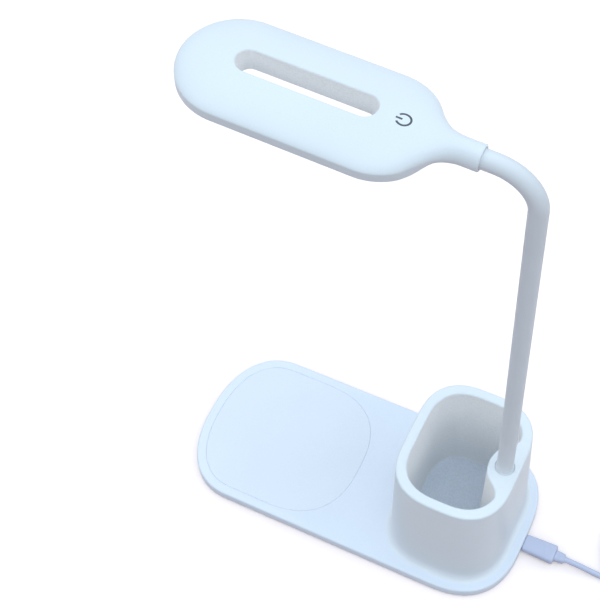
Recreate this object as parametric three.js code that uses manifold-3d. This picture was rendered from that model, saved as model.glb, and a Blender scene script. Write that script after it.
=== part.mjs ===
// Desk lamp with a flexible neck: a slotted light head on a sleeved gooseneck, standing on a thin
// base plate that carries a charging pad at one end and a pen holder at the other.
// Millimetres, +Z up. The origin is on the table, under the middle of the base plate.
// +X points from the charging pad to the pen holder and the cable; +Y is the far side.
import * as THREE from 'three';
import { mergeVertices } from 'three/addons/utils/BufferGeometryUtils.js';
import Module from 'manifold-3d';

const wasm = await Module();
wasm.setup();

// Clearances and counts shared by all pieces
const gap = 0.3; // left between two pieces that seat on each other
const overrun = 2; // how far a cutter reaches past what it cuts
const squareness = 2.6; // exponent of the soft rectangular outlines, 2 would be a true arc
const cornerSteps = 8;

// Base plate
const foot = { height: 0.8, sunk: 0.5, radius: 5.5, fromEnd: 19, fromSide: 15 };
const base = {
  length: 192, width: 92, height: 6, wall: 1.6, floor: 1.4, cornerRadius: 39.5, edgeRound: 1.1, chamfer: 0.4,
};
const screw = {
  shank: 1, head: 2.1, headHeight: 0.6, length: 3.6, sunk: 0.1, fromEnd: 48, fromSide: 9, bossWall: 1.9,
};
const recessShares = { reach: 0.6, halfWidth: 0.14, depth: 0.5 }; // of a screw head's radius and height

// Charging pad and what lies under it
const pad = { margin: 5.2, length: 88, thickness: 0.8 };
const coil = { inner: 10, outer: 22, thickness: 1, turns: 6 };
const ferrite = { radius: 24, thickness: 0.6 };
const ballast = { thickness: 1, fromLeft: 12, fromBoard: 3, fromSide: 15, corner: 26 };

// Pen holder: a soft rectangular cup with a column on its right side for the neck. It, the board and
// the neck keep their places from the right end of the plate.
const plateEnd = base.length / 2;
const holder = {
  fromEnd: 38.9, length: 60, width: 73.5, radius: 28, height: 70.4, wall: 5.5, rimRound: 1.1,
  draft: 1.8, flare: 2.6, flareHeight: 5.5, lip: 0.5, floor: 1.5, wellDraft: 1.5, wellRound: 3,
};
const column = { depth: 8.4, halfWidth: 10.5, root: 16.5, fillet: 3.6 };
const holderScrew = { shank: 1, head: 2.1, headHeight: 0.9, length: 9 };

// Board and socket
const board = {
  fromEnd: 7, length: 47, width: 48, corner: 13, thickness: 1, level: 3.1, post: 2, postInset: 9,
};
const chip = { fromEnd: 37, y: 0, length: 8, width: 8, height: 0.8 };
const driver = { fromEnd: 19, y: 14, length: 6, width: 5, height: 1.1 };
const inductor = { fromEnd: 45, y: 12, radius: 3, height: 1.9 };
const port = { y: -1.7, z: 3.7, width: 6.6, height: 1.6, wall: 0.3, depth: 6.2 };
const inlet = { fromEnd: 14, length: 43, width: 50, corner: 14 };

// Flexible neck: sleeve links, each turning on the one below in a ball and cup
const neck = {
  fromEnd: 17, radius: 4.25, bore: 2.6, core: 2.2, lastRun: 12.9, bendRadius: 20, lead: 4.1, insert: 24,
  leanDegrees: 0.5, cupGap: 0.4, firstHinge: 22, hingeSpacing: 36, bendHinges: 3, straightHinges: 6,
};
const grommet = { fit: 0.15, wall: 0.4, seat: 0.2, depth: 3 };
const ferrule = { length: 9 };

// Light head, in its own frame: u along it from its middle, v across, w up from the edge of the crown.
// The collar and its shoulder keep their places from the end of the round bar.
const head = {
  length: 112.3, width: 51.2, crown: 6.1, side: 4.7, wall: 1.8, tiltDegrees: 2.9, collarOut: 18.35,
  shoulderIn: 10.15, shoulderOut: 10.85, collarRadius: 5.85, collarRise: 1.65, collarDepth: 12,
  edgeRound: 0.8,
};
const headShares = { tip: 0.05, shoulderStart: 0.26, shoulderEnd: 0.6 }; // of the end's arc, of the shoulder
const slot = { fromTip: 25.35, fromEnd: 26.15, width: 12, skirt: 1.6 };
const diffuser = { thickness: 1.6 };
const led = { thickness: 1, level: -0.6, width: 2.4, length: 3, height: 0.8, perSide: 7, endAngle: 1 };
const headScrew = { shank: 0.8, head: 1.7, headHeight: 0.7, length: 3.2, bossWall: 1.4, fromEnd: 11 };
const touch = {
  fromEnd: 16.95, fromSpring: 3.2, length: 9.5, width: 14, thickness: 0.8, springRadius: 2.6, springWall: 0.7,
};
const headFerrule = { length: 5, wall: 0.8 };

// Supply lead: a plug in the socket, a short run on the table, a coil and the far plug
const cord = { radius: 1.4, sides: 8, steps: 22, drop: 26, lead: 2.8 };
const sagShares = { near: 0.35, nearDrop: 0.3, far: 0.65, farDrop: 0.78 }; // of the drop's run and fall
const cordCoil = {
  fromPlate: 65, outerRadius: 22.4, pitch: 3.3, turnsIn: 4.5, turnsOut: 5, tail: 16, steps: 20, sides: 6,
};
const tie = { width: 5, wall: 0.25, slack: 0.1 };
const plug = {
  length: 16.5, width: 9.4, height: 5.2, round: 1.2, squareness: 4, reliefWidth: 5.8, reliefHeight: 4.2,
  reliefLength: 4.6, taper: 3.4, groove: 0.8, tipInset: 5.6,
};
const farPlug = {
  length: 20, width: 15.6, height: 9, round: 1.5, squareness: 5, shellLength: 12, shellWidth: 12,
  shellHeight: 4.5, shellWall: 0.4, tongue: 1.8, reliefRadius: 2.6, reliefLength: 9,
};

const white = { color: 0xeaf3fb, roughness: 0.45, metalness: 0 };
const satin = { color: 0xe4ecf4, roughness: 0.6, metalness: 0 };
const sleeveLook = { color: 0xdde3ea, roughness: 0.7, metalness: 0 };
const frosted = { color: 0xf4f4f0, roughness: 0.5, metalness: 0 };
const steel = { color: 0xb8bcc2, roughness: 0.35, metalness: 1 };
const copper = { color: 0xb5713c, roughness: 0.4, metalness: 1 };
const dark = { color: 0x35383d, roughness: 0.8, metalness: 0 };
const circuit = { color: 0x2f6b4a, roughness: 0.6, metalness: 0 };
const leadLook = { color: 0xc6d5ef, roughness: 0.55, metalness: 0 };

const model = new THREE.Group();
const headGroup = new THREE.Group();

// Solids and meshes

function signedVolume(geometry) {
  const p = geometry.getAttribute('position');
  const index = geometry.getIndex();
  const [a, b, c] = [new THREE.Vector3(), new THREE.Vector3(), new THREE.Vector3()];
  let sum = 0;
  for (let i = 0; i < index.count; i += 3) {
    a.fromBufferAttribute(p, index.getX(i));
    b.fromBufferAttribute(p, index.getX(i + 1));
    c.fromBufferAttribute(p, index.getX(i + 2));
    sum += a.dot(b.cross(c)) / 6;
  }
  return sum;
}

// A closed geometry with its corners merged, no empty triangles and its faces pointing out
function tidy(geometry) {
  const bare = geometry.clone();
  bare.deleteAttribute('normal');
  bare.deleteAttribute('uv');
  const merged = mergeVertices(bare, 1e-4);
  const old = merged.getIndex().array;
  const kept = [];
  for (let i = 0; i < old.length; i += 3) {
    const [a, b, c] = [old[i], old[i + 1], old[i + 2]];
    if (a !== b && b !== c && c !== a) kept.push(a, b, c);
  }
  merged.setIndex(kept);
  if (signedVolume(merged) < 0) {
    for (let i = 0; i < kept.length; i += 3) [kept[i + 1], kept[i + 2]] = [kept[i + 2], kept[i + 1]];
    merged.setIndex(kept);
  }
  return merged;
}

function solid(geometry) {
  const g = tidy(geometry);
  return new wasm.Manifold(new wasm.Mesh({
    numProp: 3,
    vertProperties: new Float32Array(g.getAttribute('position').array),
    triVerts: new Uint32Array(g.getIndex().array),
  }));
}

function geometryOf(manifold) {
  const mesh = manifold.getMesh();
  const g = new THREE.BufferGeometry();
  const points = new Float32Array(mesh.numVert * 3);
  for (let i = 0; i < mesh.numVert; i++) {
    for (let k = 0; k < 3; k++) points[3 * i + k] = mesh.vertProperties[i * mesh.numProp + k];
  }
  g.setAttribute('position', new THREE.BufferAttribute(points, 3));
  g.setIndex(Array.from(mesh.triVerts));
  return g;
}

const joined = (first, ...rest) => rest.reduce((all, one) => all.add(one), first);
const cut = (first, ...rest) => rest.reduce((all, one) => all.subtract(one), first);

function add(name, shape, look, parent = model) {
  const geometry = shape instanceof THREE.BufferGeometry ? tidy(shape) : geometryOf(shape);
  const mesh = new THREE.Mesh(geometry, new THREE.MeshStandardMaterial(look));
  mesh.name = name;
  parent.add(mesh);
  return mesh;
}

// Shapes

// Rings of equally many points, skinned in order. Closed ones run back into the first ring;
// open ones end in flat caps.
function skin(rings, closed = false) {
  const n = rings[0].length;
  const points = rings.flat();
  const faces = [];
  const last = closed ? rings.length : rings.length - 1;
  for (let j = 0; j < last; j++) {
    const k = (j + 1) % rings.length;
    for (let i = 0; i < n; i++) {
      const m = (i + 1) % n;
      faces.push(j * n + i, j * n + m, k * n + m, j * n + i, k * n + m, k * n + i);
    }
  }
  if (!closed) {
    for (const [row, flip] of [[0, true], [rings.length - 1, false]]) {
      const middle = rings[row].reduce((s, p) => s.add(p), new THREE.Vector3()).divideScalar(n);
      const centre = points.push(middle) - 1;
      for (let i = 0; i < n; i++) {
        const [a, b] = [row * n + i, row * n + (i + 1) % n];
        if (flip) faces.push(centre, b, a);
        else faces.push(centre, a, b);
      }
    }
  }
  const g = new THREE.BufferGeometry();
  g.setAttribute('position', new THREE.Float32BufferAttribute(points.flatMap((p) => p.toArray()), 3));
  g.setIndex(faces);
  return g;
}

const power = (value, exponent) => Math.sign(value) * Math.abs(value) ** (2 / exponent);

// Soft rectangle in plan, at height z
function softRing({ left, right, half, leftRadius, rightRadius }, z, exponent = squareness) {
  const ring = [];
  const corners = [[right, 1, rightRadius, 0], [left, 1, leftRadius, 1],
    [left, -1, leftRadius, 2], [right, -1, rightRadius, 3]];
  for (const [x, side, wanted, quarter] of corners) {
    const radius = Math.min(wanted, half);
    const inward = quarter === 0 || quarter === 3 ? -radius : radius;
    for (let i = 0; i <= cornerSteps; i++) {
      const angle = (quarter + i / cornerSteps) * Math.PI / 2;
      ring.push(new THREE.Vector3(
        x + inward + radius * power(Math.cos(angle), exponent),
        side * (half - radius) + radius * power(Math.sin(angle), exponent), z));
    }
  }
  return ring;
}

const inset = (plan, by) => ({
  left: plan.left + by, right: plan.right - by, half: plan.half - by,
  leftRadius: plan.leftRadius - by, rightRadius: plan.rightRadius - by,
});

// Stack of soft rectangles: each step gives how far it is drawn in and its height
const softStack = (plan, steps, exponent) => skin(steps.map(
  ([by, z]) => softRing(inset(plan, by), z, exponent)));

// Steps of a rounded edge that ends flush with a top face
function roundOver(radius, top, drawnIn = 0, count = 3) {
  const steps = [];
  for (let i = 0; i <= count; i++) {
    const angle = i / count * Math.PI / 2;
    steps.push([drawnIn + radius * (1 - Math.cos(angle)), top - radius * (1 - Math.sin(angle))]);
  }
  return steps;
}

const plate = (plan, bottom, top, exponent) => softStack(plan, [[0, bottom], [0, top]], exponent);

function post(radius, bottom, top, x = 0, y = 0, sides = 20) {
  const g = new THREE.CylinderGeometry(radius, radius, top - bottom, sides);
  return g.rotateX(Math.PI / 2).translate(x, y, (top + bottom) / 2);
}

function block(x0, x1, y0, y1, z0, z1) {
  return new THREE.BoxGeometry(x1 - x0, y1 - y0, z1 - z0)
    .translate((x0 + x1) / 2, (y0 + y1) / 2, (z0 + z1) / 2);
}

const tube = (outer, inner, bottom, top, sides = 20) => new THREE.LatheGeometry([
  new THREE.Vector2(inner, bottom), new THREE.Vector2(outer, bottom),
  new THREE.Vector2(outer, top), new THREE.Vector2(inner, top), new THREE.Vector2(inner, bottom),
], sides).rotateX(Math.PI / 2);

// Flat-headed screw standing on its head, with a cross recess
function screwSolid(size) {
  const profile = [
    new THREE.Vector2(0, 0), new THREE.Vector2(size.head, 0), new THREE.Vector2(size.head, size.headHeight),
    new THREE.Vector2(size.shank, size.headHeight), new THREE.Vector2(size.shank, size.length),
    new THREE.Vector2(0, size.length),
  ];
  const body = solid(new THREE.LatheGeometry(profile, 12).rotateX(Math.PI / 2));
  const reach = size.head * recessShares.reach;
  const slit = size.head * recessShares.halfWidth;
  const depth = size.headHeight * recessShares.depth;
  return cut(body,
    solid(block(-reach, reach, -slit, slit, -depth, depth)),
    solid(block(-slit, slit, -reach, reach, -depth, depth)));
}

// Stations of the parts above the table and along the plate
const holderX = plateEnd - holder.fromEnd;
const neckX = plateEnd - neck.fromEnd;
const boardRight = plateEnd - board.fromEnd;
const boardLeft = boardRight - board.length;
const inletRight = plateEnd - inlet.fromEnd;
const coilX = plateEnd + cordCoil.fromPlate;
const baseBottom = foot.height;
const baseTop = baseBottom + base.height;
const cavityTop = baseTop - base.wall;
const floorTop = baseBottom + base.floor;
const basePlan = {
  left: -base.length / 2, right: base.length / 2, half: base.width / 2,
  leftRadius: base.width / 2, rightRadius: base.cornerRadius,
};
const insidePlan = inset(basePlan, base.wall);
const mirrored = [-1, 1];
const screwPlaces = mirrored.flatMap((end) => mirrored.map((side) => [
  end * (base.length / 2 - screw.fromEnd), side * (base.width / 2 - screw.fromSide)]));
const footPlaces = mirrored.flatMap((end) => mirrored.map((side) => [
  end * (base.length / 2 - foot.fromEnd),
  side * (base.width / 2 - foot.fromSide - Math.max(0, -end) * foot.radius)]));
const padPlan = {
  left: basePlan.left + pad.margin, right: basePlan.left + pad.margin + pad.length,
  half: base.width / 2 - pad.margin, leftRadius: base.width / 2 - pad.margin,
  rightRadius: base.width / 2 - pad.margin,
};
const padCentre = (padPlan.left + padPlan.right) / 2;
const inletPlan = {
  left: inletRight - inlet.length, right: inletRight, half: inlet.width / 2,
  leftRadius: inlet.corner, rightRadius: inlet.corner,
};
const holderScrewY = holder.width / 2 - holder.wall / 2;
const holderScrewPlaces = mirrored.map((side) => [holderX, side * holderScrewY]);
const wallInside = base.length / 2 - base.wall;
const screwBottom = baseBottom + screw.sunk;
const screwTop = screwBottom + screw.length;
const boardPosts = mirrored.flatMap((side) => [boardLeft + board.postInset, boardRight - board.postInset]
  .map((x) => [x, side * (board.width / 2 - board.postInset)]));

function baseTopCover() {
  const outer = solid(softStack(basePlan, [
    [base.chamfer, baseBottom], [0, baseBottom + base.chamfer], ...roundOver(base.edgeRound, baseTop),
  ]));
  const cavity = solid(plate(insidePlan, baseBottom - overrun, cavityTop));
  const recess = solid(plate(inset(padPlan, -gap), baseTop - pad.thickness, baseTop + overrun));
  const opening = solid(plate(inletPlan, cavityTop - overrun, baseTop + overrun));
  const mouth = solid(block(wallInside - overrun, base.length / 2 + overrun,
    port.y - port.width / 2 - gap, port.y + port.width / 2 + gap,
    port.z - port.height / 2 - gap, port.z + port.height / 2 + gap));
  let cover = cut(outer, cavity, recess, opening, mouth);
  for (const [x, y] of screwPlaces) {
    const outside = screw.shank + screw.bossWall;
    cover = cover.add(solid(post(outside, floorTop + gap, cavityTop + base.wall / 2, x, y, 16)));
    cover = cut(cover, solid(post(screw.shank + gap, floorTop, screwTop + gap, x, y, 12)));
  }
  for (const [x, y] of holderScrewPlaces) {
    cover = cut(cover,
      solid(post(holderScrew.shank + gap, cavityTop - overrun, baseTop + overrun, x, y, 12)));
  }
  return cover;
}

function baseBottomCover() {
  let cover = solid(softStack(inset(insidePlan, gap), [[base.chamfer, baseBottom],
    [0, baseBottom + base.chamfer], [0, floorTop]]));
  for (const [x, y] of footPlaces) {
    cover = cut(cover, solid(post(foot.radius + gap, baseBottom - overrun, baseBottom + foot.sunk, x, y)));
  }
  for (const [x, y] of screwPlaces) {
    cover = cut(cover,
      solid(post(screw.head + gap, baseBottom - overrun, screwBottom + screw.headHeight, x, y, 12)),
      solid(post(screw.shank + gap, baseBottom - overrun, floorTop + overrun, x, y, 12)));
  }
  for (const [x, y] of boardPosts) {
    cover = cover.add(solid(post(board.post, baseBottom + foot.sunk, board.level, x, y, 12)));
  }
  return cover;
}

function footSolid() {
  const edge = foot.height / 2;
  const profile = [
    new THREE.Vector2(0, 0), new THREE.Vector2(foot.radius - edge, 0), new THREE.Vector2(foot.radius, edge),
    new THREE.Vector2(foot.radius, foot.height + foot.sunk), new THREE.Vector2(0, foot.height + foot.sunk),
  ];
  return new THREE.LatheGeometry(profile, 20).rotateX(Math.PI / 2);
}

// Charging parts

const ferriteBottom = floorTop + ballast.thickness;
const coilBottom = ferriteBottom + ferrite.thickness;

// Flat winding: one ring with a groove between each pair of turns
function windingProfile() {
  const turn = (coil.outer - coil.inner) / coil.turns;
  const profile = [new THREE.Vector2(coil.inner, coilBottom), new THREE.Vector2(coil.outer, coilBottom)];
  for (let i = 0; i < coil.turns; i++) {
    const r = coil.outer - i * turn;
    profile.push(new THREE.Vector2(r, coilBottom + coil.thickness / 2));
    profile.push(new THREE.Vector2(r - turn / 2, coilBottom + coil.thickness));
  }
  profile.push(new THREE.Vector2(coil.inner, coilBottom + coil.thickness / 2));
  profile.push(new THREE.Vector2(coil.inner, coilBottom));
  return profile;
}

// Pen holder

const holderTop = baseTop + holder.height;
const wellFloor = baseTop + holder.floor;
const holderPlan = {
  left: holderX - holder.length / 2, right: holderX + holder.length / 2, half: holder.width / 2,
  leftRadius: holder.radius, rightRadius: holder.radius,
};
const innerRight = holderPlan.right - holder.wall;

function holderOuter() {
  const spread = -holder.draft - holder.flare;
  const steps = [[spread, baseTop], [spread, baseTop + holder.lip]];
  const count = 5;
  for (let i = 1; i <= count; i++) {
    const angle = i / count * Math.PI / 2;
    steps.push([-holder.draft - holder.flare * (1 - Math.sin(angle)),
      baseTop + holder.lip + holder.flareHeight * (1 - Math.cos(angle))]);
  }
  return softStack(holderPlan, [...steps, ...roundOver(holder.rimRound, holderTop)]);
}

function holderWell() {
  const steps = [];
  const count = 3;
  for (let i = 0; i <= count; i++) {
    const angle = i / count * Math.PI / 2;
    steps.push([holder.wall + holder.wellDraft + holder.wellRound * (1 - Math.sin(angle)),
      wellFloor + holder.wellRound * (1 - Math.cos(angle))]);
  }
  steps.push([holder.wall, holderTop - holder.rimRound]);
  for (let i = 1; i <= count; i++) {
    const angle = i / count * Math.PI / 2;
    steps.push([holder.wall - holder.rimRound * (1 - Math.cos(angle)),
      holderTop - holder.rimRound * (1 - Math.sin(angle))]);
  }
  steps.push([holder.wall - holder.rimRound, holderTop + overrun]);
  return softStack(holderPlan, steps);
}

// Plan of the column: a rounded nose that runs into the wall with two hollow fillets
function columnPlan() {
  const plan = new THREE.Shape();
  const backX = innerRight + holder.wall / 2;
  plan.moveTo(backX, -column.root);
  plan.lineTo(innerRight, -column.root);
  plan.quadraticCurveTo(innerRight - column.fillet / 2, -column.halfWidth - column.fillet / 4,
    neckX, -column.halfWidth);
  plan.absellipse(neckX, 0, column.depth, column.halfWidth, -Math.PI / 2, Math.PI / 2, true);
  plan.quadraticCurveTo(innerRight - column.fillet / 2, column.halfWidth + column.fillet / 4,
    innerRight, column.root);
  plan.lineTo(backX, column.root);
  return plan;
}

const ferruleBottom = holderTop - neck.insert - ferrule.length;
const grommetInner = neck.radius + grommet.fit;
const grommetOuter = grommetInner + grommet.wall;

function penHolder() {
  const columnBody = solid(new THREE.ExtrudeGeometry(columnPlan(), {
    depth: holder.height, bevelEnabled: false, curveSegments: 8,
  }).translate(0, 0, baseTop));
  let body = cut(solid(holderOuter()), cut(solid(holderWell()), columnBody));
  body = cut(body,
    solid(post(neck.radius + gap, ferruleBottom, holderTop + overrun, neckX, 0, 24)),
    solid(post(grommetOuter + grommet.seat, holderTop - grommet.depth, holderTop + overrun, neckX, 0, 24)),
    solid(post(neck.core + gap, baseTop - overrun, ferruleBottom + overrun, neckX, 0, 16)));
  for (const [x, y] of holderScrewPlaces) {
    body = cut(body, solid(post(holderScrew.shank + gap, baseTop - overrun,
      cavityTop - holderScrew.headHeight + holderScrew.length + gap, x, y, 12)));
  }
  return body;
}

// Neck

const lean = THREE.MathUtils.degToRad(neck.leanDegrees);
const tilt = THREE.MathUtils.degToRad(head.tiltDegrees);
const bendTurn = Math.PI / 2 - tilt - lean;
// The links up to the last hinge below the bend, and the straight run above it
const neckStraight = neck.firstHinge + (neck.straightHinges - 1) * neck.hingeSpacing + neck.lastRun;
const bendLength = neck.bendRadius * bendTurn;
const neckLength = neckStraight + bendLength + neck.lead;

// Heading of the neck, measured from straight up towards the charging end
function headingAt(s) {
  if (s <= neck.firstHinge) return 0;
  if (s <= neckStraight) return lean;
  return lean + bendTurn * Math.min(1, (s - neckStraight) / bendLength);
}

const direction = (heading) => new THREE.Vector3(-Math.sin(heading), 0, Math.cos(heading));

// Point of the neck's middle line at the length s above the rim of the pen holder
function neckPoint(s) {
  const p = new THREE.Vector3(neckX, 0, holderTop + Math.min(s, neck.firstHinge));
  if (s > neck.firstHinge) p.addScaledVector(direction(lean), Math.min(s, neckStraight) - neck.firstHinge);
  if (s > neckStraight) {
    const h = headingAt(s);
    p.x += neck.bendRadius * (Math.cos(h) - Math.cos(lean));
    p.z += neck.bendRadius * (Math.sin(h) - Math.sin(lean));
  }
  const past = s - neckStraight - bendLength;
  return past > 0 ? p.addScaledVector(direction(headingAt(s)), past) : p;
}

const hinges = [];
for (let i = 0; i < neck.straightHinges; i++) hinges.push(neck.firstHinge + i * neck.hingeSpacing);
for (let i = 0; i < neck.bendHinges; i++) {
  hinges.push(neckStraight + bendLength * (i + 0.5) / neck.bendHinges);
}

const sleeveSides = 16;

// Ring round the neck at s, moved on along the neck's direction there
function neckRing(s, radius, onward = 0) {
  const heading = headingAt(s);
  const centre = neckPoint(s).addScaledVector(direction(heading), onward);
  const across = new THREE.Vector3(Math.cos(heading), 0, Math.sin(heading));
  const ring = [];
  for (let i = 0; i < sleeveSides; i++) {
    const angle = i / sleeveSides * Math.PI * 2;
    ring.push(centre.clone().addScaledVector(across, radius * Math.cos(angle))
      .add(new THREE.Vector3(0, radius * Math.sin(angle), 0)));
  }
  return ring;
}

// Rings over a ball of that radius about hinge s, between two ring radii
function ballRings(s, ball, from, to, count) {
  const [a, b] = [Math.acos(from / ball), Math.acos(to / ball)];
  return Array.from({ length: count + 1 }, (_, i) => a + (b - a) * i / count)
    .map((angle) => neckRing(s, ball * Math.cos(angle), ball * Math.sin(angle)));
}

// Lengths along the bend where a link needs a ring, none nearer to its ends than this
const nearest = 1;
const bendEnd = neckStraight + bendLength;
const between = (from, to) => [neckStraight, ...hinges.slice(neck.straightHinges), bendEnd]
  .flatMap((s, i, all) => (i ? [(s + all[i - 1]) / 2, s] : [s]))
  .filter((s) => s > from + nearest && s < to - nearest);

const cupRadius = neck.radius + neck.cupGap;
const cupRim = Math.sqrt(cupRadius ** 2 - neck.radius ** 2);
const cupFloor = Math.sqrt(cupRadius ** 2 - neck.bore ** 2);

// Link i: hollow, with a cup at its lower end and a ball at its upper end
function sleeveLink(i) {
  const rings = [];
  const [low, high] = [hinges[i - 1], hinges[i]];
  const start = i ? low + cupRim : -neck.insert;
  const end = high ?? neckLength + head.collarDepth;
  if (i) rings.push(...ballRings(low, cupRadius, neck.bore, neck.radius, 3));
  else rings.push(neckRing(start, neck.bore), neckRing(start, neck.radius));
  for (const s of between(start, end)) rings.push(neckRing(s, neck.radius));
  if (high) rings.push(...ballRings(high, neck.radius, neck.radius, neck.bore, 4));
  else rings.push(neckRing(end, neck.radius), neckRing(end, neck.bore));
  const boreLow = i ? low + cupFloor : start;
  const boreHigh = high ? high + Math.sqrt(neck.radius ** 2 - neck.bore ** 2) : end;
  for (const s of between(boreLow, boreHigh).reverse()) rings.push(neckRing(s, neck.bore));
  return skin(rings, true);
}

// The wound steel hose inside link i, kept short of the ball and the cup
function coreLink(i) {
  const [low, high] = [hinges[i - 1], hinges[i]];
  const first = i ? neckRing(low, neck.core, cupFloor + gap)
    : neckRing(-neck.insert - ferrule.length, neck.core);
  const last = high ? neckRing(high, neck.core, neck.core)
    : neckRing(neckLength + head.collarDepth + headFerrule.length, neck.core);
  const middle = between(i ? low + cupFloor : 0, high ? high + nearest / 2 : neckLength);
  return skin([first, ...middle.map((s) => neckRing(s, neck.core)), last]);
}

// Light head

const halfLength = head.length / 2;
const shoulderStart = halfLength - head.shoulderIn;
const shoulderEnd = halfLength + head.shoulderOut;
const collarEnd = halfLength + head.collarOut;
const slotLength = head.length - slot.fromTip - slot.fromEnd;
const slotMiddle = (slot.fromTip - slot.fromEnd) / 2;
const touchU = halfLength - touch.fromEnd;
const halfWidth = head.width / 2;
const endCentre = halfLength - halfWidth;
const smooth = (t) => t * t * (3 - 2 * t);
const share = (value, from, to) => Math.min(1, Math.max(0, (value - from) / (to - from)));

// Half width of the head at u: a round-ended bar that flows into the collar
function widthAt(u, reduce = 0) {
  const radius = halfWidth - reduce;
  const off = Math.max(0, Math.abs(u) - endCentre);
  return Math.sqrt(Math.max(0, radius ** 2 - off ** 2));
}

function shoulder() {
  const startWidth = widthAt(shoulderStart);
  const slope = (shoulderStart - endCentre) / startWidth;
  const run = shoulderEnd - shoulderStart;
  const pull = run * headShares.shoulderStart;
  return new THREE.CubicBezierCurve(
    new THREE.Vector2(shoulderStart, startWidth),
    new THREE.Vector2(shoulderStart + pull, startWidth - pull * slope),
    new THREE.Vector2(shoulderEnd - run * headShares.shoulderEnd, head.collarRadius),
    new THREE.Vector2(shoulderEnd, head.collarRadius),
  );
}

const sectionSteps = 24;

// Height of the crown's ridge at u, over a half width there
function ridgeAt(u, half) {
  const toCollar = smooth(share(u, endCentre, shoulderEnd));
  return THREE.MathUtils.lerp(head.crown * half / halfWidth, head.collarRise + head.collarRadius, toCollar);
}

// Cross-section: crowned above, upright and flat below, turning to a circle at the collar
function headSection(u, half, drawnIn, bottom) {
  const turn = smooth(share(u, shoulderStart, shoulderEnd));
  const top = ridgeAt(u, half) - drawnIn;
  const edge = head.collarRise * turn;
  const low = bottom ?? THREE.MathUtils.lerp(-head.side, head.collarRise - head.collarRadius, turn);
  const [wide, r] = [half - drawnIn, head.edgeRound];
  const diagonal = r * (1 - Math.SQRT1_2);
  const corner = [[wide, edge], [wide, low + r], [wide - diagonal, low + diagonal], [wide - r, low]];
  const flat = sectionSteps / 2 - 2 * corner.length + 1;
  const middle = Array.from({ length: flat }, (_, i) => [(wide - r) * (1 - 2 * (i + 1) / (flat + 1)), low]);
  const across = corner.map(([v, w]) => [-v, w]).concat(middle.map(([v, w]) => [-v, w]), corner.reverse());
  const ring = [];
  for (let i = 0; i < sectionSteps; i++) {
    const angle = i / sectionSteps * Math.PI * 2;
    const [cos, sin] = [Math.cos(angle), Math.sin(angle)];
    const under = i > sectionSteps / 2 ? across[i - sectionSteps / 2] : [wide * cos, edge];
    const height = sin >= 0 ? top - edge : edge - low;
    const boxy = sin >= 0 ? 0 : 1 - turn;
    ring.push(new THREE.Vector3(u, THREE.MathUtils.lerp(wide * cos, under[0], boxy),
      THREE.MathUtils.lerp(edge + height * sin, under[1], boxy)));
  }
  return ring;
}

function headStations() {
  const count = 7;
  const list = [];
  for (let i = 0; i <= count; i++) {
    const angle = THREE.MathUtils.lerp(headShares.tip, 1, i / count) * Math.PI / 2;
    const u = -endCentre - halfWidth * Math.cos(angle);
    list.push([u, widthAt(u)]);
  }
  list.push([0, halfWidth]);
  const last = Math.asin((shoulderStart - endCentre) / halfWidth);
  for (let i = 0; i < 4; i++) {
    const u = endCentre + halfWidth * Math.sin(last * i / 4);
    list.push([u, widthAt(u)]);
  }
  for (const p of shoulder().getPoints(8)) list.push([p.x, p.y]);
  list.push([collarEnd, head.collarRadius]);
  return list;
}

// Round-ended bar in plan, between two heights
function bar(length, width, low, high, centre = 0) {
  const half = width / 2;
  const [left, right] = [centre - length / 2, centre + length / 2];
  return plate({ left, right, half, leftRadius: half, rightRadius: half }, low, high, 2);
}

const insideLength = head.length - 2 * head.wall;
const insideWidth = head.width - 2 * head.wall;
const skirtLength = slotLength + 2 * slot.skirt;
const skirtWidth = slot.width + 2 * slot.skirt;
const headTop = head.crown + overrun;
const ledTop = led.level + led.thickness;
const headScrewPlaces = mirrored.map((end) => end * (halfLength - headScrew.fromEnd));
const neckEndU = collarEnd - head.collarDepth;

function headShell() {
  const outer = solid(skin(headStations().map(([u, half]) => headSection(u, half, 0))));
  const inside = headStations().filter(([u]) => Math.abs(u) < halfLength + overrun)
    .map(([u, half]) => headSection(u, Math.max(half, 2 * head.wall), head.wall, -head.side - 3 * overrun));
  const hollow = solid(skin(inside)).intersect(
    solid(bar(insideLength, insideWidth, -head.side - overrun, headTop)));
  let shell = cut(outer, hollow);
  const bosses = headScrewPlaces.map((u) => solid(
    post(headScrew.shank + headScrew.bossWall, ledTop + gap, headTop, u, 0, 12)));
  const skirt = solid(bar(skirtLength, skirtWidth, -head.side, headTop, slotMiddle));
  shell = joined(shell, ...[skirt, ...bosses].map((piece) => piece.intersect(outer)));
  const along = (radius, from, to) => solid(new THREE.CylinderGeometry(radius, radius, to - from, 20)
    .rotateZ(Math.PI / 2).translate((from + to) / 2, 0, head.collarRise));
  return cut(shell,
    solid(bar(slotLength, slot.width, -head.side - overrun, headTop, slotMiddle)),
    along(neck.radius + gap, neckEndU - gap, collarEnd + overrun),
    along(neck.core + headFerrule.wall + 2 * gap, halfLength - 4 * head.wall, neckEndU),
    ...headScrewPlaces.map((u) => solid(post(headScrew.shank + gap, led.level,
      led.level + headScrew.length - headScrew.headHeight + gap, u, 0, 12))));
}

function headDiffuser() {
  return cut(
    solid(bar(insideLength - 2 * gap, insideWidth - 2 * gap, -head.side, -head.side + diffuser.thickness)),
    solid(bar(skirtLength + 2 * gap, skirtWidth + 2 * gap, -head.side - overrun, 0, slotMiddle)));
}

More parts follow.
